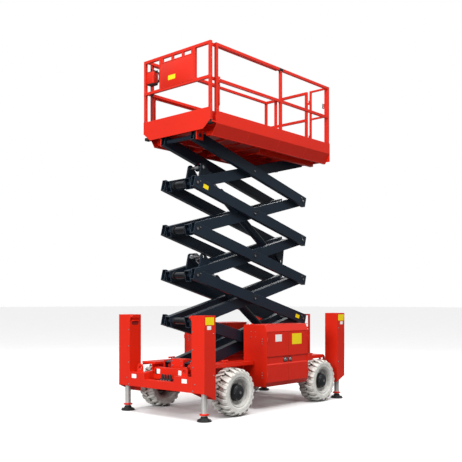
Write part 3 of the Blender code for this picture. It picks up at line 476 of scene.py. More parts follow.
def stood(
    item: bpy.types.Object, centre: Sequence[float], axis: Sequence[float]
) -> bpy.types.Object:
    """Put a piece made along +Z at a place, along an axis."""
    turn = Vector(axis).to_track_quat("Z", "Y").to_matrix().to_4x4()
    item.data.transform(Matrix.Translation(Vector(centre)) @ turn)
    return item


def rod(
    start: Sequence[float],
    end: Sequence[float],
    radius: float,
    sides: int = 24,
    bevel: float = 0.0015,
) -> bpy.types.Object:
    """A round bar between two points, its ends chamfered."""
    a, b = Vector(start), Vector(end)
    long = (b - a).length
    edge = min(bevel, radius * 0.4, long * 0.3)
    profile = [(radius - edge, 0), (radius, edge), (radius, long - edge), (radius - edge, long)]
    return stood(turned(profile, sides), a, b - a)


def tube(start: Sequence[float], end: Sequence[float], radius: float, wall: float,
         sides: int = 28) -> bpy.types.Object:
    """A round tube, open at both ends."""
    a, b = Vector(start), Vector(end)
    long = (b - a).length
    inner = radius - wall
    profile = [(inner, 0), (radius, 0), (radius, long), (inner, long)]
    return stood(turned(profile, sides, closed=True), a, b - a)


def copied(item: bpy.types.Object, matrix: Matrix) -> bpy.types.Object:
    """A copy with its own mesh, moved by a matrix."""
    mesh = item.data.copy()
    mesh.transform(matrix)
    if matrix.determinant() < 0:
        mesh.flip_normals()
    made = bpy.data.objects.new(item.name, mesh)
    bpy.context.scene.collection.objects.link(made)
    return made


def removed(item: bpy.types.Object) -> None:
    """Take away a pattern piece once its copies are made."""
    bpy.data.objects.remove(item, do_unlink=True)


def joined(items: Iterable[bpy.types.Object]) -> bpy.types.Object:
    """Several objects made one."""
    group = list(items)
    deselect()
    for item in group:
        item.select_set(True)
    bpy.context.view_layer.objects.active = group[0]
    if len(group) > 1:
        bpy.ops.object.join()
    return bpy.context.view_layer.objects.active


def dressed(
    item: bpy.types.Object,
    name: str,
    finish: Finish,
    body: str,
    stands_for: Sequence[str] = (),
    smooth: float = 32.0,
) -> bpy.types.Object:
    """Name a finished piece, give it its finish, and let it ride on a body.

    Args:
        item: the piece.
        name: its name.
        finish: its material.
        body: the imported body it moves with.
        stands_for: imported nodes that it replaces.
        smooth: the angle under which faces shade as one, in degrees.

    Returns:
        The same piece.
    """
    item.name = name
    item.data.name = name
    item.data.materials.clear()
    item.data.materials.append(finish.material())
    deselect()
    item.select_set(True)
    bpy.context.view_layer.objects.active = item
    bpy.ops.object.shade_smooth_by_angle(angle=math.radians(smooth))
    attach(item, body)
    if stands_for:
        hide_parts(*stands_for)
    log.info("%s on %s: %d faces", name, body, len(item.data.polygons))
    return item


def dressed_group(
    items: Iterable[bpy.types.Object], name: str, finish: Finish, body: str
) -> bpy.types.Object:
    """Join several pieces of one finish and dress them."""
    return dressed(joined(items), name, finish, body)


def centre_of(node: str) -> Vector:
    """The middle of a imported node's box."""
    low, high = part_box(node)
    return (low + high) / 2


def joint_place(name: str) -> Vector:
    """Where a packed joint's axis stands at rest."""
    for joint in frame["joints"]:
        if joint["name"] == name:
            return Vector(joint["pos_m"])
    raise KeyError(name)


# ---------------------------------------------------------------- small repeated pieces


@dataclass
class Fasteners:
    """Hex bolts on washers, modelled once and copied to each place."""

    across: float = 0.011
    head: float = 0.007
    washer: float = 0.0022

    def pattern(self) -> bpy.types.Object:
        """One bolt standing on the origin along +Z."""
        ring = self.across * 1.15
        disc = turned([(ring, 0), (ring, self.washer * 0.7), (ring * 0.95, self.washer)], 18)
        top = self.washer + self.head
        hexagon = turned(
            [(self.across, self.washer * 0.8), (self.across, top - 0.0015),
             (self.across * 0.86, top), (self.across * 0.5, top)], 6,
        )
        return joined([disc, hexagon])

    def placed(self, spots: Iterable[tuple[Sequence[float], Sequence[float]]]) -> bpy.types.Object:
        """Bolts at each (place, outward direction), joined in one object."""
        one = self.pattern()
        group = []
        for place, axis in spots:
            turn = Vector(axis).to_track_quat("Z", "Y").to_matrix().to_4x4()
            group.append(copied(one, Matrix.Translation(Vector(place)) @ turn))
        removed(one)
        return joined(group)


def label(centre: Sequence[float], across: str, size: tuple[float, float]) -> bpy.types.Object:
    """A thin blank label with rounded corners.

    Args:
        centre: its middle, on the surface it sticks to.
        across: the axis it faces along, X, Y or Z.
        size: its width and height.

    Returns:
        The label.
    """
    wide, tall = size[0] / 2, size[1] / 2
    thick = 0.0008
    half = {"X": (thick, wide, tall), "Y": (wide, thick, tall), "Z": (wide, tall, thick)}[across]
    low = [c - h for c, h in zip(centre, half)]
    high = [c + h for c, h in zip(centre, half)]
    return block(low, high, 0.006, across, 3)


LOZENGE_PITCH = 0.042
LOZENGE_HALF = (0.017, 0.0035)
LOZENGE_HEIGHT = 0.0018


def lozenges(corner: Sequence[float], counts: tuple[int, int]) -> list[bpy.types.Object]:
    """Raised bars on a floor plate, each turned across its neighbours.

    Args:
        corner: the first bar's middle, on the plate.
        counts: bars along X and along Y.

    Returns:
        The bars.
    """
    long, wide = LOZENGE_HALF
    bar = block((-long, -wide, 0.0), (long, wide, LOZENGE_HEIGHT), 0.0)
    first, group = Vector(corner), []
    for i in range(counts[0]):
        for j in range(counts[1]):
            turn = Matrix.Rotation(math.radians(45 if (i + j) % 2 else -45), 4, "Z")
            place = first + Vector((LOZENGE_PITCH * i, LOZENGE_PITCH * j, 0))
            group.append(copied(bar, Matrix.Translation(place) @ turn))
    removed(bar)
    return group


# ---------------------------------------------------------------- sub-assemblies


@dataclass
class Wheel:
    """A rough-terrain wheel: cleated pale tyre, stepped rim and black hub."""

    end: End
    side: Side
    radius: float = 0.338
    carcass: float = 0.309
    half_width: float = 0.150
    bead: float = 0.201
    lugs: int = 20
    lug_long: float = 0.055
    nuts: int = 8
    nut_circle: float = 0.137
    body: str = field(init=False)
    hub: Vector = field(init=False)

    def __post_init__(self) -> None:
        """Work out the wheel's place."""
        self.body = f"wheel_{self.end.word}_{self.side.word}"
        self.hub = centre_of(f"rim_{self.end.word}_{self.side.word}")
        self.hub.y = self.side.value * 0.745

    def outward(self) -> Matrix:
        """From a piece made along +Z to the wheel's outward axle line."""
        turn = Matrix.Rotation(-self.side.value * math.radians(90), 4, "X")
        return Matrix.Translation(self.hub) @ turn

    def carcass_piece(self) -> bpy.types.Object:
        """The tyre's body with its sidewall steps."""
        profile = [
            (self.bead, -0.119), (0.212, -0.127), (0.222, -0.133), (0.226, -0.139),
            (0.252, -0.1445), (0.262, -0.1435), (0.266, -0.1465), (0.286, -0.1455),
            (0.297, -0.138), (0.306, -0.120), (self.carcass, -0.07), (self.carcass + 0.002, 0),
        ]
        ring = [*profile, *[(r, -h) for r, h in reversed(profile[:-1])]]
        return turned(ring, 56, closed=True)

    def lug(self, hand: int) -> bpy.types.Object:
        """One cleat from the tread's middle out and over the shoulder."""
        deselect()
        bpy.ops.mesh.primitive_cube_add(size=1)
        item = bpy.context.object
        edit(item)
        bpy.ops.mesh.select_all(action="SELECT")
        bpy.ops.mesh.subdivide(number_cuts=5)
        leave()
        shape = bmesh.new()
        shape.from_mesh(item.data)
        for vert in shape.verts:
            self._shape_lug(vert, hand)
        bmesh.ops.recalc_face_normals(shape, faces=shape.faces)
        shape.to_mesh(item.data)
        shape.free()
        return item

    def _shape_lug(self, vert: bmesh.types.BMVert, hand: int) -> None:
        """Bend one point of a unit cube to the cleat: x round the tyre, y across, z out."""
        around, across, out = vert.co.x, vert.co.y + 0.5, vert.co.z + 0.5
        reach = -0.012 + 0.158 * across
        long = self.lug_long * (0.62 + 0.42 * across) * (1.0 - 0.16 * out)
        swing = 0.050 * (1 - across) ** 1.5
        crown = self.radius - 0.004 * across**2
        foot = self.carcass - 0.006
        if across > 0.8:
            over = (across - 0.8) / 0.2
            crown -= 0.030 * over
            foot -= 0.046 * over
        height = foot + (crown - foot) * out
        angle = (around * long + swing) / self.radius
        width = hand * min(reach, self.half_width - 0.0015)
        vert.co = Vector((height * math.sin(angle), height * math.cos(angle), width))

    def tread(self) -> bpy.types.Object:
        """Both rows of cleats, half a pitch apart."""
        group = []
        for hand in (1, -1):
            one = self.lug(hand)
            shift = 0.5 if hand < 0 else 0.0
            for i in range(self.lugs):
                turn = Matrix.Rotation(2 * math.pi * (i + shift) / self.lugs, 4, "Z")
                group.append(copied(one, turn))
            removed(one)
        return joined(group)

    def rim_piece(self) -> bpy.types.Object:
        """Flange, steps and disc outside; a plain drum inside."""
        outer = [
            (0.2003, -0.118), (0.2003, 0.112), (0.207, 0.118), (0.208, 0.1265), (0.202, 0.1295),
            (0.196, 0.1265), (0.192, 0.112), (0.186, 0.108), (0.183, 0.088), (0.176, 0.082),
            (0.172, 0.060), (0.162, 0.052), (0.150, 0.050), (0.124, 0.046), (0.104, 0.046),
        ]
        inner = [(0.104, 0.020), (0.160, 0.026), (0.168, -0.070), (0.186, -0.100), (0.190, -0.118)]
        return turned([*outer, *inner], 56, closed=True)

    def hub_piece(self) -> bpy.types.Object:
        """The planetary hub's black housing with its domed cover."""
        profile = [
            (0.104, -0.105), (0.108, 0.046), (0.118, 0.050), (0.120, 0.058), (0.117, 0.064),
            (0.112, 0.066), (0.110, 0.112), (0.104, 0.120), (0.090, 0.124), (0.086, 0.131),
            (0.060, 0.139), (0.030, 0.143), (0.026, 0.147), (0.0, 0.1475),
        ]
        return turned(profile, 44)

    def build(self) -> None:
        """Make and dress the wheel's pieces."""
        name = f"{self.end.word}_{self.side.word}"
        place = self.outward()
        tyre = joined([self.carcass_piece(), self.tread()])
        tyre.data.transform(place)
        dressed(tyre, f"cleated_tyre_{name}", PALE_RUBBER, self.body, [f"tyre_{name}"], 40)
        rim = self.rim_piece()
        rim.data.transform(place)
        dressed(rim, f"stepped_rim_{name}", RIM_ENAMEL, self.body, [f"rim_{name}"])
        hub = self.hub_piece()
        hub.data.transform(place)
        dressed(hub, f"hub_cover_{name}", BLACK_IRON, self.body)
        spots = []
        for i in range(self.nuts):
            a = 2 * math.pi * (i + 0.5) / self.nuts
            spots.append(((self.nut_circle * math.cos(a), self.nut_circle * math.sin(a), 0.046),
                          (0, 0, 1)))
        for i in range(6):
            a = 2 * math.pi * i / 6
            spots.append(((0.100 * math.cos(a), 0.100 * math.sin(a), 0.1195), (0, 0, 1)))
        nuts = Fasteners(0.0095, 0.009).placed(spots[: self.nuts])
        screws = Fasteners(0.0055, 0.004, 0.001).placed(spots[self.nuts :])
        cap = turned([(0.020, 0.1460), (0.020, 0.1488), (0.016, 0.1495), (0, 0.1495)], 20)
        metal = joined([nuts, screws, cap])
        metal.data.transform(place)
        dressed(metal, f"wheel_nuts_{name}", ZINC_PLATE, self.body)


@dataclass
class Leg:
    """A jack leg: ground bar, red collar plate and flared pad."""

    end: End
    side: Side
    bar: float = 0.040
    top: float = 1.050
    ribs: int = 8

    def build(self) -> None:
        """Make and dress the leg's pieces."""
        name = f"{self.end.word}_{self.side.word}"
        body = f"leg_{name}"
        spot = centre_of(body)
        place = Matrix.Translation((spot.x, spot.y, 0))
        bar = turned([(0.036, 0.070), (self.bar, 0.074), (self.bar, self.top - 0.003),
                      (self.bar - 0.003, self.top)], 32)
        bar.data.transform(place)
        dressed(bar, f"jack_bar_{name}", GROUND_STEEL, body, [body])
        collar = turned([(0.040, 0.084), (0.0635, 0.0845), (0.065, 0.086), (0.065, 0.098),
                         (0.0635, 0.0995), (0.046, 0.100), (0.043, 0.108), (0.040, 0.108)], 36)
        collar.data.transform(place)
        dressed(collar, f"jack_collar_{name}", RED_COAT, body)
        pad = turned(
            [(0.094, 0.0), (0.100, 0.003), (0.100, 0.012), (0.092, 0.017), (0.070, 0.027),
             (0.056, 0.040), (0.050, 0.056), (0.046, 0.066), (0.034, 0.072), (0.034, 0.084)], 40,
        )
        rib = block((0.040, -0.004, 0.008), (0.091, 0.004, 0.034), 0.003)
        group = [pad]
        for i in range(self.ribs):
            group.append(copied(rib, Matrix.Rotation(2 * math.pi * i / self.ribs, 4, "Z")))
        removed(rib)
        foot = joined(group)
        foot.data.transform(place)
        dressed(foot, f"jack_pad_{name}", BLACK_RUBBER, body)


@dataclass
class Outrigger:
    """Bolts, labels, hand hole and knob on an outrigger box."""

    end: End
    side: Side
    bolt_heights: tuple[float, ...] = (1.205, 0.965, 0.725)
    low_bolts: tuple[tuple[float, float], ...] = ((0.700, 0.500), (0.662, 0.405))
    bolt_line: float = 0.662
    inside: float = 0.640
    skin_depth: float = 0.0012

    def build(self) -> None:
        """Make and dress the outrigger's trim."""
        name = f"{self.end.word}_{self.side.word}"
        low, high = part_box(f"outrigger_{name}")
        end, side = self.end.value, self.side.value
        face = high.x if end > 0 else low.x
        outer = high.y if side > 0 else low.y
        sunk = face - end * self.skin_depth
        spots = [((sunk, side * self.bolt_line, z), (end, 0, 0)) for z in self.bolt_heights]
        spots += [((sunk, side * y, z), (end, 0, 0)) for y, z in self.low_bolts]
        spots += [((face - end * 0.180, outer, z), (0, side, 0)) for z in (0.62, 1.18)]
        bolts = Fasteners(0.0085, 0.0045, 0.0015).placed(spots)
        dressed(bolts, f"outrigger_bolts_{name}", ZINC_PLATE, "chassis")
        mark = label((face - end * 0.104, outer + side * LABEL_LIFT, 1.352), "Y", (0.168, 0.104))
        dressed(mark, f"outrigger_label_{name}", YELLOW_VINYL, "chassis")
        small = label((face - end * 0.092, outer + side * LABEL_LIFT, 1.262), "Y", (0.078, 0.050))
        dressed(small, f"outrigger_plate_{name}", WHITE_VINYL, "chassis")
        self._hand_hole(name, face, side * self.inside)

    def _hand_hole(self, name: str, face: float, inner: float) -> None:
        """The rolled grip below the lip on the inside face, a dark plate under it painted as the
        hand hole's shade, and its knob.
        """
        end, side = self.end.value, self.side.value
        # Painted shade: a dark red plate where the hand hole's recess lies in shadow under the
        # grip.
        hand_hole_shade = block((face - end * 0.172, inner - side * 0.0012, 1.272),
                      (face - end * 0.040, inner + side * 0.004, 1.330), 0.024, "Y", 6)
        dressed(hand_hole_shade, f"outrigger_grip_mouth_{name}", AXLE_ENAMEL, "chassis")
        bar = rod((face - end * 0.168, inner - side * 0.010, 1.334),
                  (face - end * 0.044, inner - side * 0.010, 1.334), 0.0095, 16, 0.004)
        dressed(bar, f"outrigger_grip_{name}", RED_COAT, "chassis")
        knob = stood(
            turned([(0.010, 0), (0.010, 0.010), (0.016, 0.014), (0.018, 0.024), (0.012, 0.032),
                    (0, 0.034)], 20),
            (face - end * 0.016, inner - side * 0.020, 1.398), (0, -side, 0),
        )
        dressed(knob, f"outrigger_knob_{name}", RED_COAT, "chassis")


@dataclass
class SideBox:
    """Plates, latches, hinges and bolts on a side box and its doors."""

    side: Side
    latch_x: tuple[float, float] = (-0.107, -0.229)
    latch_z: float = 0.740
    door_face: float = 0.860
    front: float = 0.353

    def build(self) -> None:
        """Make and dress the side box's trim."""
        side = self.side.value
        word = self.side.word
        low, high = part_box(f"side_box_{word}")
        face = side * self.door_face
        spots = [((self.front, side * y, z), (1, 0, 0))
                 for y in (0.560, 0.640) for z in (1.085, 1.165)]
        spots += [((self.front, side * 0.770, z), (1, 0, 0))
                  for z in (1.060, 1.025, 0.990, 0.560, 0.525, 0.490)]
        bolts = Fasteners(0.0075, 0.0045, 0.0015).placed(spots)
        dressed(bolts, f"side_box_bolts_{word}", ZINC_PLATE, "chassis")
        self._roof(low, high)
        self._marks(face)
        self._latches(face)
        self._vents(low, side, word)

    def _roof(self, low: Vector, high: Vector) -> None:
        """A folded rain lip along the roof's outer edge, and two lifting studs."""
        side, word = self.side.value, self.side.word
        strip = block((low.x + 0.004, side * 0.420, high.z - 0.0005),
                      (self.front - 0.004, side * 0.818, high.z + 0.004), 0.0015)
        dressed(strip, f"side_box_roof_{word}", RED_COAT, "chassis")
        studs = [
            stood(turned([(0.012, 0), (0.012, 0.010), (0.008, 0.018), (0, 0.019)], 16),
                  (self.front - 0.030, side * y, high.z + 0.003), (0, 0, 1))
            for y in (0.470, 0.560)
        ]
        dressed_group(studs, f"side_box_studs_{word}", RED_COAT, "chassis")

    def _marks(self, face: float) -> None:
        """The blank white plate on one door and the blank yellow one on the other."""
        side, word = self.side.value, self.side.word
        white = label((0.072, face + side * LABEL_LIFT, 1.070), "Y", (0.155, 0.105))
        dressed(white, f"door_plate_white_{word}", WHITE_VINYL, f"door_{word}_front")
        yellow = label((-0.385, face + side * LABEL_LIFT, 1.044), "Y", (0.245, 0.165))
        dressed(yellow, f"door_plate_yellow_{word}", YELLOW_VINYL, f"door_{word}_rear")

    def _latches(self, face: float) -> None:
        """A round key latch and a paddle latch, sunk in the doors' groove."""
        side, word = self.side.value, self.side.word
        floor = face - side * 0.014
        for x, end in zip(self.latch_x, ("front", "rear")):
            body = f"door_{word}_{end}"
            pan = block((x - 0.040, floor - side * 0.001, self.latch_z - 0.034),
                        (x + 0.040, floor + side * 0.006, self.latch_z + 0.034), 0.010, "Y", 4)
            dressed(pan, f"latch_pan_{word}_{end}", BLACK_NYLON, body)
            disc = stood(turned([(0.024, 0), (0.024, 0.005), (0.020, 0.009), (0.011, 0.009),
                                 (0.010, 0.006), (0, 0.006)], 28),
                         (x - 0.010, floor + side * 0.004, self.latch_z), (0, side, 0))
            paddle = block((x + 0.008, floor + side * 0.004, self.latch_z - 0.022),
                           (x + 0.034, floor + side * 0.0125, self.latch_z + 0.022), 0.004)
            dressed_group([disc, paddle], f"latch_{word}_{end}", ZINC_PLATE, body)

    def _vents(self, low: Vector, side: int, word: str) -> None:
        """Pressed louvres on the rear panel."""
        slats = []
        for i in range(7):
            z = 0.52 + 0.045 * i
            slats.append(block((low.x + 0.104, side * 0.480, z),
                               (low.x + 0.112, side * 0.700, z + 0.020), 0.0035))
        dressed_group(slats, f"side_box_louvres_{word}", RED_COAT, "chassis")


@dataclass
class Chassis:
    """Trim on the front and rear beams, the fenders and the front pin brackets."""

    def build(self) -> None:
        """Make and dress the chassis trim."""
        self._beam_labels()
        self._cross_block()
        self._pin_brackets()
        self._manifold()
        self._fender_edges()
        self._step_treads()
        self._beacon()

    def _beam_labels(self) -> None:
        """Blank white labels on both beams and on the front block."""
        marks = []
        for end in (1, -1):
            for y in (0.500, -0.540):
                marks.append(label((end * 1.7001, y, 0.530), "X", (0.100, 0.058)))
        for y in (0.215, -0.235):
            marks.append(label((1.5006, y, 0.606), "X", (0.070, 0.070)))
        dressed_group(marks, "beam_labels", WHITE_VINYL, "chassis")

    def _cross_block(self) -> None:
        """Black plates painted as the shade inside the open ends of the square tube across the
        front, and its end rims.
        """
        tube_end_shades, rims = [], []
        # Painted shade: black plates where the open tube ends lie in shadow.
        for side in (1, -1):
            y = side * 0.322
            tube_end_shades.append(block((1.412, y - side * 0.002, 0.536), (1.482, y + side * 0.0012, 0.632),
                                0.004))
            tube_end_shades.append(block((1.4985, y - side * 0.078, 0.560),
                                (1.5012, y - side * 0.022, 0.636), 0.006, "X", 3))
        dressed_group(tube_end_shades, "cross_tube_end_shades", BLACK_NYLON, "chassis")
        for z in (0.500, 0.660):
            rims.append(block((1.396, -0.318, z - 0.003), (1.4995, 0.318, z + 0.0015), 0.0015))
        dressed_group(rims, "cross_tube_seams", RED_COAT, "chassis")

    def _pin_brackets(self) -> None:
        """Keeper plate bolts, a red ring and steel pin ends at the stack's lowest front pins."""
        pin = joint_place("scissor_raise")
        rings = []
        for y in (0.1345, -0.1345):
            rings.append(tube((pin.x, y - 0.004, pin.z), (pin.x, y + 0.004, pin.z), 0.058, 0.022))
        dressed_group(rings, "base_pin_rings", RED_COAT, "chassis")
        ends = []
        for side in (1, -1):
            ends.append(rod((pin.x, side * 0.279, pin.z), (pin.x, side * 0.2895, pin.z), 0.026))
        dressed_group(ends, "base_pin_ends", GROUND_STEEL, "chassis")
        spots = []
        for side in (1, -1):
            for dx in (-0.055, 0.055):
                for z in (0.600, 0.735):
                    spots.append(((pin.x + dx, side * 0.2825, z), (0, side, 0)))
        for y in (-0.090, 0.090):
            for z in (0.690, 0.755):
                spots.append(((pin.x + 0.082, y, z), (1, 0, 0)))
        bolts = Fasteners(0.009, 0.006).placed(spots)
        dressed(bolts, "base_bracket_bolts", ZINC_PLATE, "chassis")

    def _manifold(self) -> None:
        """The valve block with its unions, sunk between the beam's shoulders."""
        base = block((1.545, -0.110, 0.478), (1.590, 0.120, 0.520), 0.004)
        stacks = [base]
        for y in (-0.075, -0.020, 0.035, 0.090):
            stacks.append(rod((1.567, y, 0.515), (1.567, y, 0.572), 0.017, 20, 0.004))
            stacks.append(rod((1.567, y, 0.568), (1.567, y, 0.582), 0.010, 6, 0.001))
        dressed_group(stacks, "valve_block", BLACK_IRON, "chassis")
        unions = []
        for y in (-0.075, -0.020, 0.035, 0.090):
            unions.append(rod((1.586, y, 0.497), (1.604, y, 0.497), 0.0105, 6, 0.002))
            unions.append(rod((1.602, y, 0.497), (1.612, y, 0.497), 0.007, 16, 0.001))
        dressed_group(unions, "valve_unions", ZINC_PLATE, "chassis")

    def _fender_edges(self) -> None:
        """Rolled edges under the fender strips and discs on the rope cleats."""
        edges = []
        for side in (1, -1):
            for x0, x1 in ((0.370, 1.466), (-1.466, -0.704)):
                edges.append(block((x0, side * 0.612, 0.676), (x1, side * 0.6198, 0.702), 0.002))
            edges.append(rod((0.936, side * 0.550, 0.7300), (0.936, side * 0.550, 0.7345), 0.028))
            for dx in (-0.056, 0.056):
                x = 0.936 + dx
                step = math.copysign(0.006, dx)
                edges.append(rod((x - step, side * 0.550, 0.760), (x + step, side * 0.550, 0.760),
                                 0.0155, 20, 0.004))
        dressed_group(edges, "fender_edges", RED_COAT, "chassis")

    def _step_treads(self) -> None:
        """Black grip strips on the ladder's rungs and the rear step boxes."""
        strips = []
        for z in (0.724, 0.954, 1.184, 1.404):
            strips.append(block((-1.504, -0.110, z - 0.001), (-1.486, 0.280, z + 0.0015), 0.0007))
        for side in (1, -1):
            strips.append(block((-0.780, side * 0.760, 0.7995), (-0.690, side * 0.850, 0.8015),
                                0.0008))
        dressed_group(strips, "grip_strips", BLACK_RUBBER, "chassis")

    def _beacon(self) -> None:
        """A lamp with a black foot and a ribbed red dome."""
        low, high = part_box("beacon")
        spot = Matrix.Translation(((low.x + high.x) / 2, (low.y + high.y) / 2, low.z))
        foot = turned([(0.038, 0), (0.042, 0.002), (0.042, 0.017), (0.036, 0.022), (0.034, 0.022)],
                      32)
        foot.data.transform(spot)
        dressed(foot, "beacon_foot", BLACK_NYLON, "chassis")
        profile = [(0.034, 0.020)]
        for i in range(5):
            z = 0.024 + 0.006 * i
            profile += [(0.0345, z), (0.0325, z + 0.003)]
        profile += [(0.031, 0.056), (0.026, 0.065), (0.016, 0.072), (0, 0.074)]
        dome = turned(profile, 32)
        dome.data.transform(spot)
        dressed(dome, "beacon_dome", LENS, "chassis", ["beacon"])


@dataclass
class ScissorStack:
    """Pins, keepers, sleeves and labels on the arms, and the two lift cylinders."""

    stages: int = 5
    inner_face: float = 0.150
    outer_face: float = 0.341
    lug_face: float = 0.144
    base_eye: tuple[float, float] = (-2.196, -0.263)  # along and across an inner arm
    rod_eye: tuple[float, float] = (-0.387, 0.197)
    barrel_aside: float = 0.044

    def __post_init__(self) -> None:
        """Read the pins' places from the joints."""
        self.base = joint_place("scissor_raise")
        self.centres = [joint_place(f"scissor_centre_{k}") for k in range(1, self.stages + 1)]
        self.fronts = [self.base]
        self.fronts += [joint_place(f"scissor_front_{k}") for k in range(1, self.stages)]
        self.fronts.append(joint_place("platform_level"))
        rise = self.centres[0] - self.base
        self.slope = math.atan2(-rise.z, rise.x) if rise.x > 0 else math.atan2(rise.z, -rise.x)

    def build(self) -> None:
        """Make and dress the stack's trim."""
        for stage in range(1, self.stages + 1):
            self._centre_keepers(stage)
            self._end_keepers(stage)
            self._sleeves(stage)
        self._labels()
        self._lug_bosses()
        self._roller_caps()
        self._cylinder("lower")
        self._cylinder("upper")

    def _arm_turn(self, pivot: Vector, outer: bool) -> Matrix:
        """From an arm's own frame, X along it, to its place at rest."""
        angle = -self.slope if outer else self.slope
        return Matrix.Translation(pivot) @ Matrix.Rotation(angle, 4, "Y")

    def _keeper(self, y: float, hand: int, flush: bool) -> list[bpy.types.Object]:
        """A pin head with its locking plate, on an arm's outside face.

        Args:
            y: the arm's outside face.
            hand: the way that face looks.
            flush: a thin head without a plate, for the stages that fold between the tracks.

        Returns:
            The nut first, then the dark pieces.
        """
        if flush:
            return [rod((0, y + hand * 0.003, 0), (0, y + hand * 0.007, 0), 0.011, 6, 0.001),
                    rod((0, y, 0), (0, y + hand * 0.004, 0), 0.027, 24, 0.001)]
        return [rod((0, y + hand * 0.009, 0), (0, y + hand * 0.017, 0), 0.014, 6, 0.002),
                rod((0, y, 0), (0, y + hand * 0.011, 0), 0.027, 24, 0.003),
                block((-0.030, y, 0.028), (0.030, y + hand * 0.007, 0.054), 0.003)]

    def _centre_keepers(self, stage: int) -> None:
        """Pin heads at the crossing of the arms, outside both outer arms."""
        place = self._arm_turn(self.centres[stage - 1], outer=True)
        dark, bright = [], []
        for hand in (1, -1):
            nut, *rest = self._keeper(hand * self.outer_face, hand, stage in (1, self.stages))
            dark += rest
            bright.append(nut)
        for group, word, finish in ((dark, "heads", BLACK_IRON), (bright, "nuts", ZINC_PLATE)):
            piece = joined(group)
            piece.data.transform(place)
            dressed(piece, f"centre_pin_{word}_{stage}", finish, f"outer_{stage}")

    def _end_keepers(self, stage: int) -> None:
        """Pin ends, bolts and stop bosses at both ends of a stage's outer arms."""
        half = (self.fronts[1] - self.centres[0]).length
        place = self._arm_turn(self.centres[stage - 1], outer=True)
        dark, bright = [], []
        for hand in (1, -1):
            y = hand * self.outer_face
            for x in (half, -half):
                tip = math.copysign(1, x)
                bolt = x - tip * 0.050
                dark.append(tube((x, y, 0), (x, y + hand * 0.006, 0), 0.034, 0.014))
                bright.append(rod((x, y, 0), (x, y + hand * 0.005, 0), 0.019, 20, 0.002))
                bright.append(rod((bolt, y, 0.036), (bolt, y + hand * 0.006, 0.036), 0.010, 6,
                                  0.0015))
                dark.append(block((bolt - tip * 0.024, y, 0.024),
                                  (bolt + tip * 0.024, y + hand * 0.003, 0.048), 0.0012))
        for group, word, finish in ((dark, "bosses", BLACK_IRON), (bright, "bolts", ZINC_PLATE)):
            piece = joined(group)
            piece.data.transform(place)
            dressed(piece, f"arm_end_{word}_{stage}", finish, f"outer_{stage}")

    def _sleeves(self, stage: int) -> None:
        """Bright sleeves with black collars between the inner arms."""
        place = self._arm_turn(self.fronts[stage - 1], outer=False)
        rear = -2 * (self.fronts[1] - self.centres[0]).length
        spots = [rear] + ([0.0] if stage > 1 else [])
        steel, black = [], []
        for x in spots:
            flange = 0.062 if x == 0.0 and stage > 2 else 0.0510
            steel.append(tube((x, -0.106, 0), (x, 0.106, 0), 0.0485, 0.0012, 32))
            for hand in (1, -1):
                rim, face = hand * 0.1165, hand * self.inner_face
                black.append(tube((x, hand * 0.106, 0), (x, rim, 0), flange, flange - 0.0475, 32))
                black.append(tube((x, rim, 0), (x, face, 0), min(flange, 0.056), 0.0035, 32))
        piece = joined(steel)
        piece.data.transform(place)
        dressed(piece, f"shaft_sleeves_{stage}", BLACKED_STEEL, f"inner_{stage}")
        collar = joined(black)
        collar.data.transform(place)
        dressed(collar, f"shaft_collars_{stage}", BLACK_IRON, f"inner_{stage}")

    def _labels(self) -> None:
        """Small blank yellow labels on two outer arms."""
        for stage, x in ((4, 1.140), (2, -1.145)):
            mark = label((x, self.outer_face + LABEL_LIFT, -0.004), "Y", (0.105, 0.060))
            mark.data.transform(self._arm_turn(self.centres[stage - 1], outer=True))
            dressed(mark, f"arm_label_{stage}", YELLOW_VINYL, f"outer_{stage}")

    def _lug_bosses(self) -> None:
        """Round bosses at the cylinder eyes, on the outside of the lugs."""
        eyes = {1: [self.base_eye], 3: [self.base_eye, self.rod_eye], 5: [self.rod_eye]}
        for stage, spots in eyes.items():
            group = []
            for x, z in spots:
                for hand in (1, -1):
                    y = hand * self.lug_face
                    group.append(tube((x, y, z), (x, y + hand * 0.0045, z), 0.040, 0.012, 24))
            piece = joined(group)
            piece.data.transform(self._arm_turn(self.fronts[stage - 1], outer=False))
            dressed(piece, f"eye_bosses_{stage}", BLACK_IRON, f"inner_{stage}")

    def _roller_caps(self) -> None:
        """Turned steel caps on the rollers that run in the tracks."""
        half = (self.fronts[1] - self.centres[0]).length
        for body, place, x in (("outer_1", self._arm_turn(self.centres[0], True), -half),
                               ("inner_5", self._arm_turn(self.fronts[4], False), -2 * half)):
            group = []
            for hand in (1, -1):
                group.append(tube((x, hand * 0.3425, 0), (x, hand * 0.3495, 0), 0.046, 0.015, 28))
            piece = joined(group)
            piece.data.transform(place)
            dressed(piece, f"roller_caps_{body}", GROUND_STEEL, body)

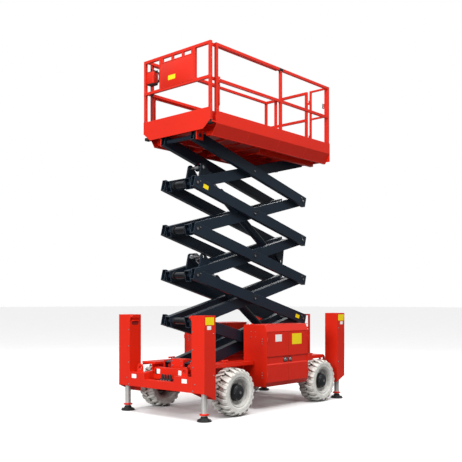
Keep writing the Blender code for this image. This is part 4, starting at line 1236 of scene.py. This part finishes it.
    def _cylinder(self, name: str) -> None:
        """Gland nut, ports and end rings on one cylinder's barrel."""
        stage = 1 if name == "lower" else 3
        aside = -self.barrel_aside if name == "lower" else self.barrel_aside
        base = self._eye(stage, *self.base_eye)
        tip = self._eye(stage + 2, *self.rod_eye)
        run = (tip - base).normalized()
        start = base + Vector((0, aside, 0))
        up = run.cross(Vector((0, 1, 0)))
        if up.z < 0:
            up = -up
        rings = [
            tube(start + run * 1.690, start + run * 1.738, 0.0695, 0.0060, 32),
            tube(start + run * 0.034, start + run * 0.070, 0.0685, 0.0050, 32),
        ]
        port = start + up * 0.060
        rings.append(rod(port + run * 0.090, port + run * 0.150, 0.015, 16, 0.003))
        rings.append(rod(port + run * 1.600, port + run * 1.660, 0.015, 16, 0.003))
        dressed_group(rings, f"{name}_barrel_rings", BLACK_IRON, f"{name}_barrel")
        pipe = tube(port + run * 0.140, port + run * 1.610, 0.0075, 0.0015, 16)
        clips = [pipe]
        for share in (0.45, 0.85, 1.25):
            at = port + run * share
            clips.append(rod(at - run * 0.010, at + run * 0.010, 0.0115, 16, 0.002))
        dressed_group(clips, f"{name}_barrel_pipe", ZINC_PLATE, f"{name}_barrel")

    def _eye(self, stage: int, x: float, z: float) -> Vector:
        """A cylinder eye at rest, from its place on an inner arm."""
        return self._arm_turn(self.fronts[stage - 1], outer=False) @ Vector((x, 0, z))


@dataclass
class Platform:
    """Trim on the platform's floor, guardrails and gate."""

    rail_top: float = 5.224
    line: float = 0.663
    post_x: tuple[float, float, float] = (-1.5197, -0.226, 1.233)

    def build(self) -> None:
        """Make and dress the platform's trim."""
        self._plugs()
        self._clamps()
        self._feet()
        self._stub_posts()
        self._floor()
        self._skirt_seams()
        self._gate_trim()

    def _plugs(self) -> None:
        """Black plugs over the open tops of the posts."""
        for word, side in (("left", 1), ("right", -1)):
            plugs = []
            for x in (self.post_x[0], self.post_x[2]):
                top = self.rail_top
                plugs.append(block((x - 0.0205, side * self.line - 0.0205, top - 0.010),
                                   (x + 0.0205, side * self.line + 0.0205, top), 0.004))
            dressed_group(plugs, f"post_plugs_{word}", BLACK_NYLON, "platform")

    def _clamps(self) -> None:
        """The black clamps that join the rail lengths over the middle posts."""
        for word, side in (("left", 1), ("right", -1)):
            y = side * self.line
            top = self.rail_top
            wrap = block((-0.272, y - 0.0245, top - 0.046), (-0.180, y + 0.0245, top - 0.0005),
                         0.008)
            ear = block((-0.250, y - 0.013, top - 0.078), (-0.202, y + 0.013, top - 0.040), 0.006)
            knob = rod((-0.226, y + side * 0.0245, top - 0.024),
                       (-0.226, y + side * 0.031, top - 0.024), 0.012, 6, 0.002)
            dressed_group([wrap, ear, knob], f"rail_clamp_{word}", BLACK_NYLON, "platform")

    def _feet(self) -> None:
        """Sockets and lock pins where the folding guardrails stand on the floor."""
        for word, side in (("left", 1), ("right", -1)):
            y = side * self.line
            shoes, pins = [], []
            for x in self.post_x:
                shoes.append(block((x - 0.026, y - side * 0.024, 4.1245),
                                   (x + 0.026, y + side * 0.0205, 4.212), 0.004))
                pins.append(rod((x, y - side * 0.024, 4.172), (x, y - side * 0.032, 4.172), 0.011,
                                20, 0.002))
                pins.append(rod((x, y + side * 0.020, 4.300), (x, y + side * 0.0265, 4.300), 0.008,
                                6, 0.001))
            dressed_group(shoes, f"post_shoes_{word}", RED_COAT, "platform")
            dressed_group(pins, f"post_pins_{word}", ZINC_PLATE, "platform")

    def _stub_posts(self) -> None:
        """The extension lock by the front post: a lever, its bracket and bright pins."""
        for word, side in (("left", 1), ("right", -1)):
            y = side * self.line
            x = self.post_x[2]
            bracket = block((x - 0.060, y - 0.0215, 4.668), (x - 0.018, y + 0.0225, 4.762), 0.005)
            hood = block((x - 0.070, y - 0.018, 4.700), (x - 0.056, y + 0.018, 4.742), 0.004)
            stub = block((x - 0.062, y - 0.014, 4.360), (x - 0.036, y + 0.014, 4.672), 0.004)
            dressed_group([bracket, hood, stub], f"lock_bracket_{word}", RED_COAT, "platform")
            ends = (
                (x - 0.039, 0.022, 0.030, 4.715, 0.011),
                (x - 0.048, 0.014, 0.030, 4.640, 0.007),
                (x - 0.048, 0.014, 0.022, 4.400, 0.009),
            )
            pins = [rod((at, y + side * a, z), (at, y + side * b, z), radius)
                    for at, a, b, z, radius in ends]
            dressed_group(pins, f"lock_pins_{word}", ZINC_PLATE, "platform")

    def _floor(self) -> None:
        """Rolled floor plate with raised bars, clear of the extension's slides."""
        sheet = block((-1.500, -0.455, 4.1240), (1.200, 0.455, 4.1255), 0.0)
        group = [sheet, *lozenges((-1.475, -0.440, 4.1254), (64, 22))]
        dressed_group(group, "floor_plate", FLOOR_ALUMINIUM, "platform")

    def _skirt_seams(self) -> None:
        """Folded seams across the sloping skirt, and the rolled lip along its foot."""
        for word, side in (("left", 1), ("right", -1)):
            group = []
            for x in (-0.880, -0.180, 0.520):
                strip = block((x - 0.003, -0.0900, -0.0018), (x + 0.003, 0.0900, 0.0006), 0.0006)
                tilt = Matrix.Rotation(side * math.atan2(0.160, 0.090), 4, "X")
                middle = (0, side * 0.6450, 4.0200)
                strip.data.transform(Matrix.Translation(middle) @ tilt)
                group.append(strip)
            group.append(rod((-1.540, side * 0.5985, 3.9445), (1.250, side * 0.5985, 3.9445),
                             0.006, 12, 0.002))
            dressed_group(group, f"skirt_seams_{word}", RED_COAT, "platform")

    def _gate_trim(self) -> None:
        """The gate's spring latch."""
        low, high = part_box("gate")
        x = (low.x + high.x) / 2
        pieces = [
            block((x - 0.021, 0.566, 4.880), (x + 0.021, 0.6025, 4.960), 0.005),
            rod((x, 0.596, 4.920), (x, 0.6345, 4.920), 0.009, 16, 0.002),
        ]
        dressed_group(pieces, "gate_latch", ZINC_PLATE, "gate")


@dataclass
class Extension:
    """The end frame's panel, corner trim, stays and control station."""

    post_x: float = 1.3587
    post_y: float = 0.668
    panel_y: tuple[float, float] = (-0.312, 0.352)
    box_top: float = 5.060

    def build(self) -> None:
        """Make and dress the extension's trim."""
        self._panel()
        self._corners()
        self._chain()
        self._deck_trim()
        self._controls()

    def _panel(self) -> None:
        """The sheet panel's slotted, slanted head and its blank label."""
        x = self.post_x
        left, right = self.panel_y
        skin = block((x + 0.0015, left, 4.735), (x + 0.020, right, 5.112), 0.0015)
        tabs = []
        for y in (-0.290, -0.075, 0.140, 0.330):
            tabs.append(block((x - 0.004, y - 0.024, 5.100), (x + 0.016, y + 0.024, 5.190), 0.002))
        head = block((x - 0.006, left, 5.104), (x + 0.020, right, 5.124), 0.003)
        dressed_group([skin, head, *tabs], "end_panel", RED_COAT, "extension")
        mark = label((x + 0.0206, -0.085, 4.872), "X", (0.150, 0.066))
        dressed(mark, "end_panel_label", YELLOW_VINYL, "extension")
        spots = [((x + 0.0165, y, z), (1, 0, 0))
                 for y in (-0.180, 0.040, 0.240) for z in (4.985, 5.060)]
        screws = Fasteners(0.006, 0.003, 0.001).placed(spots)
        dressed(screws, "end_panel_screws", RED_COAT, "extension")

    def _corners(self) -> None:
        """Black plugs on the corner posts, with gussets and latch plates."""
        plugs, plates, pins = [], [], []
        for side in (1, -1):
            x, y = self.post_x, side * self.post_y
            plugs.append(block((x - 0.0205, y - 0.0205, 5.214), (x + 0.0205, y + 0.0205, 5.224),
                               0.004))
            plates.append(block((x - 0.0205, y - side * 0.0205, 4.690),
                                (x + 0.0215, y + side * 0.0212, 4.776), 0.002))
            plates.append(block((x - 0.0215, y - side * 0.0215, 4.160),
                                (x + 0.0200, y + side * 0.0212, 4.330), 0.002))
            for z in (4.985, 4.420, 4.340):
                pins.append(rod((x, y + side * 0.0195, z), (x, y + side * 0.0245, z), 0.007, 16,
                                0.001))
        dressed_group(plugs, "corner_plugs", BLACK_NYLON, "extension")
        dressed_group(plates, "corner_plates", RED_COAT, "extension")
        dressed_group(pins, "corner_pins", ZINC_PLATE, "extension")
        boxes = [block((1.292, 0.590, 4.085), (1.376, 0.676, 4.150), 0.006),
                 block((1.300, -0.676, 4.030), (1.376, -0.600, 4.075), 0.006)]
        dressed_group(boxes, "corner_stops", BLACK_RUBBER, "extension")

    def _chain(self) -> None:
        """A short black stay chain down inside the right corner post."""
        link = turned([(0.0075, -0.0016), (0.0107, -0.0016), (0.0107, 0.0016), (0.0075, 0.0016)],
                      14, closed=True)
        group = []
        count = 24
        top, foot = 4.690, 4.320
        step = (top - foot) / count
        x, y = self.post_x - 0.012, -0.545
        for i in range(count):
            turn = Matrix.Rotation(math.radians(90 * (i % 2)), 4, "Z")
            tall = Matrix.Diagonal((1.0, 1.35, 1.0, 1.0))
            stand = Matrix.Rotation(math.radians(90), 4, "X")
            place = Matrix.Translation((x, y, foot + step * (i + 0.5)))
            group.append(copied(link, place @ turn @ stand @ tall))
        removed(link)
        group.append(block((x - 0.016, y - 0.018, top - 0.006), (x + 0.012, y + 0.018, top + 0.030),
                           0.003))
        group.append(block((x - 0.012, y - 0.018, foot - 0.030),
                           (x + 0.012, y + 0.018, foot + 0.004), 0.003))
        dressed_group(group, "stay_chain", BLACK_IRON, "extension")

    def _deck_trim(self) -> None:
        """A rolled floor plate on the extension's deck and a nosing behind it."""
        sheet = block((-0.170, -0.595, 4.1430), (1.360, 0.595, 4.1445), 0.0)
        group = [sheet, *lozenges((-0.145, -0.570, 4.1444), (36, 28))]
        group.append(block((-0.1795, -0.600, 4.1305), (-0.168, 0.600, 4.1450), 0.0015))
        dressed_group(group, "extension_floor_plate", FLOOR_ALUMINIUM, "extension")

    def _controls(self) -> None:
        """The control station: housing, joystick, buttons and a curved guard."""
        low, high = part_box("control_box")
        body_top = self.box_top
        y0 = low.y
        split = y0 + 0.150
        housing = block((low.x, y0, low.z + 0.018), (high.x - 0.004, split, body_top - 0.006),
                        0.010, segments=3)
        dressed(housing, "control_housing", RED_COAT, "extension", ["control_box"])
        console = block((low.x, y0 + 0.004, body_top - 0.008),
                        (high.x - 0.006, split - 0.004, body_top), 0.003)
        visor = block((low.x + 0.004, y0 + 0.006, body_top - 0.002),
                      (low.x + 0.014, split - 0.006, body_top + 0.028), 0.003)
        base = block((low.x + 0.006, y0 + 0.010, low.z),
                     (high.x - 0.010, split - 0.004, low.z + 0.020), 0.006)
        dressed_group([console, visor, base], "control_console", BLACK_NYLON, "extension")
        stick = stood(
            turned([(0.024, -0.002), (0.026, 0.006), (0.018, 0.014), (0.008, 0.022), (0.007, 0.034),
                    (0.012, 0.040), (0.013, 0.054), (0.008, 0.059), (0, 0.060)], 24),
            (low.x + 0.046, y0 + 0.048, body_top), (0, 0, 1))
        dressed(stick, "control_joystick", BLACK_RUBBER, "extension")
        stop = stood(turned([(0.010, -0.002), (0.010, 0.008), (0.019, 0.010), (0.019, 0.018),
                             (0.014, 0.021), (0, 0.022)], 24),
                     (low.x + 0.050, split - 0.034, body_top), (0, 0, 1))
        dressed(stop, "control_stop_button", LENS, "extension")
        self._guard(low, split)
        arm = block((self.post_x - 0.018, -0.650, 4.925),
                    (self.post_x + 0.004, y0 + 0.012, 4.985), 0.004)
        dressed(arm, "control_bracket", RED_COAT, "extension")

    def _guard(self, low: Vector, split: float) -> None:
        """The curved black bumper round the control station's inner side."""
        steps = 12
        reach, thick = 0.092, 0.012
        middle = Vector((low.x + 0.050, split - 0.012, (low.z + self.box_top) / 2))
        ring = []
        for i in range(steps + 1):
            angle = math.radians(-90 + 180 * i / steps)
            ring.append(middle + reach * Vector((0, math.cos(angle), math.sin(angle))))
        bars = [rod(a, b, thick, 14, 0.002) for a, b in zip(ring, ring[1:])]
        bars += [rod(ring[i] - Vector((0.046, 0, 0)), ring[i], thick, 14, 0.003) for i in (3, 9)]
        dressed_group(bars, "control_guard", BLACK_RUBBER, "extension")


@dataclass
class Studio:
    """Pale floor, soft lights and the camera."""

    camera_place: tuple[float, float, float] = (8.508, 7.416, 1.609)
    camera_turn: float = 131.685
    lens: float = 55.43
    shift: float = 0.1537
    horizon: float = 0.06
    zenith: float = 1.35

    def build(self) -> None:
        """Set up floor, lights, world and camera."""
        self._floor()
        self._world()
        self._light("key_softbox", (14.0, 2.0, 4.6), (0.2, 0.0, 2.4), 5.0, 1250)
        self._light("fill_softbox", (2.8, 7.0, 11.0), (0.0, 0.0, 1.8), 4.0, 820)
        self._light("rim_softbox", (-6.5, -4.0, 9.0), (0.0, 0.0, 3.0), 4.0, 300)
        self._camera()

    def _floor(self) -> None:
        """A wide pale floor under the tyres."""
        deselect()
        bpy.ops.mesh.primitive_plane_add(size=400, location=(0, 0, -0.0005))
        item = bpy.context.object
        apply_place(item)
        item.name = "studio_floor"
        item.data.materials.append(self._floor_paint())

    def _floor_paint(self) -> bpy.types.Material:
        """White board to the camera that throws little light back up under the machine."""
        made = STUDIO_FLOOR.material()
        tree = made.node_tree
        base = tree.nodes["Principled BSDF"].inputs["Base Color"]
        seen = add_node(tree, "ShaderNodeLightPath").outputs["Is Camera Ray"]
        choice = add_node(tree, "ShaderNodeMix", {"data_type": "RGBA"}, {"A": linear("#6E6E70")},
                          {"Factor": seen, "B": base.links[0].from_socket})
        tree.links.new(choice.outputs["Result"], base)
        return made

    def _world(self) -> None:
        """A white sky, brightest overhead."""
        world = bpy.data.worlds.new("studio_white")
        bpy.context.scene.world = world
        world.use_nodes = True
        tree = world.node_tree
        seen = add_node(tree, "ShaderNodeLightPath").outputs["Is Camera Ray"]
        way = add_node(tree, "ShaderNodeTexCoord").outputs["Generated"]
        height = add_node(tree, "ShaderNodeSeparateXYZ", links={"Vector": way}).outputs["Z"]
        sky = add_node(tree, "ShaderNodeMapRange",
                       values={"To Min": self.horizon, "To Max": self.zenith},
                       links={"Value": height})
        strength = add_node(tree, "ShaderNodeMapRange", values={"To Max": 1.0},
                            links={"Value": seen, "To Min": sky.outputs["Result"]})
        back = tree.nodes["Background"]
        back.inputs["Color"].default_value = (1, 1, 1, 1)
        tree.links.new(strength.outputs["Result"], back.inputs["Strength"])
        bpy.context.scene.view_settings.view_transform = "Standard"

    def _light(self, name: str, place: Sequence[float], target: Sequence[float], size: float,
               power: float) -> None:
        """A square area light aimed at a point."""
        lamp = bpy.data.lights.new(name, "AREA")
        lamp.size, lamp.energy = size, power
        item = bpy.data.objects.new(name, lamp)
        bpy.context.scene.collection.objects.link(item)
        item.location = place
        item.rotation_euler = (Vector(target) - Vector(place)).to_track_quat("-Z", "Y").to_euler()

    def _camera(self) -> None:
        """The camera, level and a little below the stack's middle."""
        data = bpy.data.cameras.new("camera")
        data.sensor_width, data.lens, data.shift_y = 36.0, self.lens, self.shift
        item = bpy.data.objects.new("camera", data)
        bpy.context.scene.collection.objects.link(item)
        item.location = self.camera_place
        item.rotation_euler = (math.radians(90), 0, math.radians(self.camera_turn))
        bpy.context.scene.camera = item


FINISH_BY_NODE = (
    (("inner_frame", "outer_frame"), ARM_COAT),
    (("lower_cylinder_barrel", "upper_cylinder_barrel"), ARM_COAT),
    (("lower_cylinder_rod", "upper_cylinder_rod"), HARD_CHROME),
    (("tyre",), PALE_RUBBER),
    (("rim",), RIM_ENAMEL),
    (("leg",), GROUND_STEEL),
    (("knuckle",), BLACK_IRON),
    (("front_axle", "rear_axle"), AXLE_ENAMEL),
    (("engine", "tanks"), GREY_IRON),
    (("beacon",), LENS),
    (("control_box",), BLACK_NYLON),
)


def finish_for(node: str) -> Finish:
    """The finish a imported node's surface has."""
    for starts, finish in FINISH_BY_NODE:
        if node.startswith(starts):
            return finish
    return RED_COAT


def dress_nodes() -> None:
    """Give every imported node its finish."""
    for node, item in frame["nodes"].items():
        made = finish_for(node).material()
        if not item.material_slots:
            item.data.materials.append(made)
        for slot in item.material_slots:
            slot.material = made


def main() -> None:
    """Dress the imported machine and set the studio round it."""
    logging.basicConfig(level=logging.INFO, format="%(message)s")
    Studio().build()
    dress_nodes()
    for end in End:
        for side in Side:
            Wheel(end, side).build()
            Leg(end, side).build()
            Outrigger(end, side).build()
    for side in Side:
        SideBox(side).build()
    Chassis().build()
    ScissorStack().build()
    Platform().build()
    Extension().build()


if __name__ == "__main__":
    main()
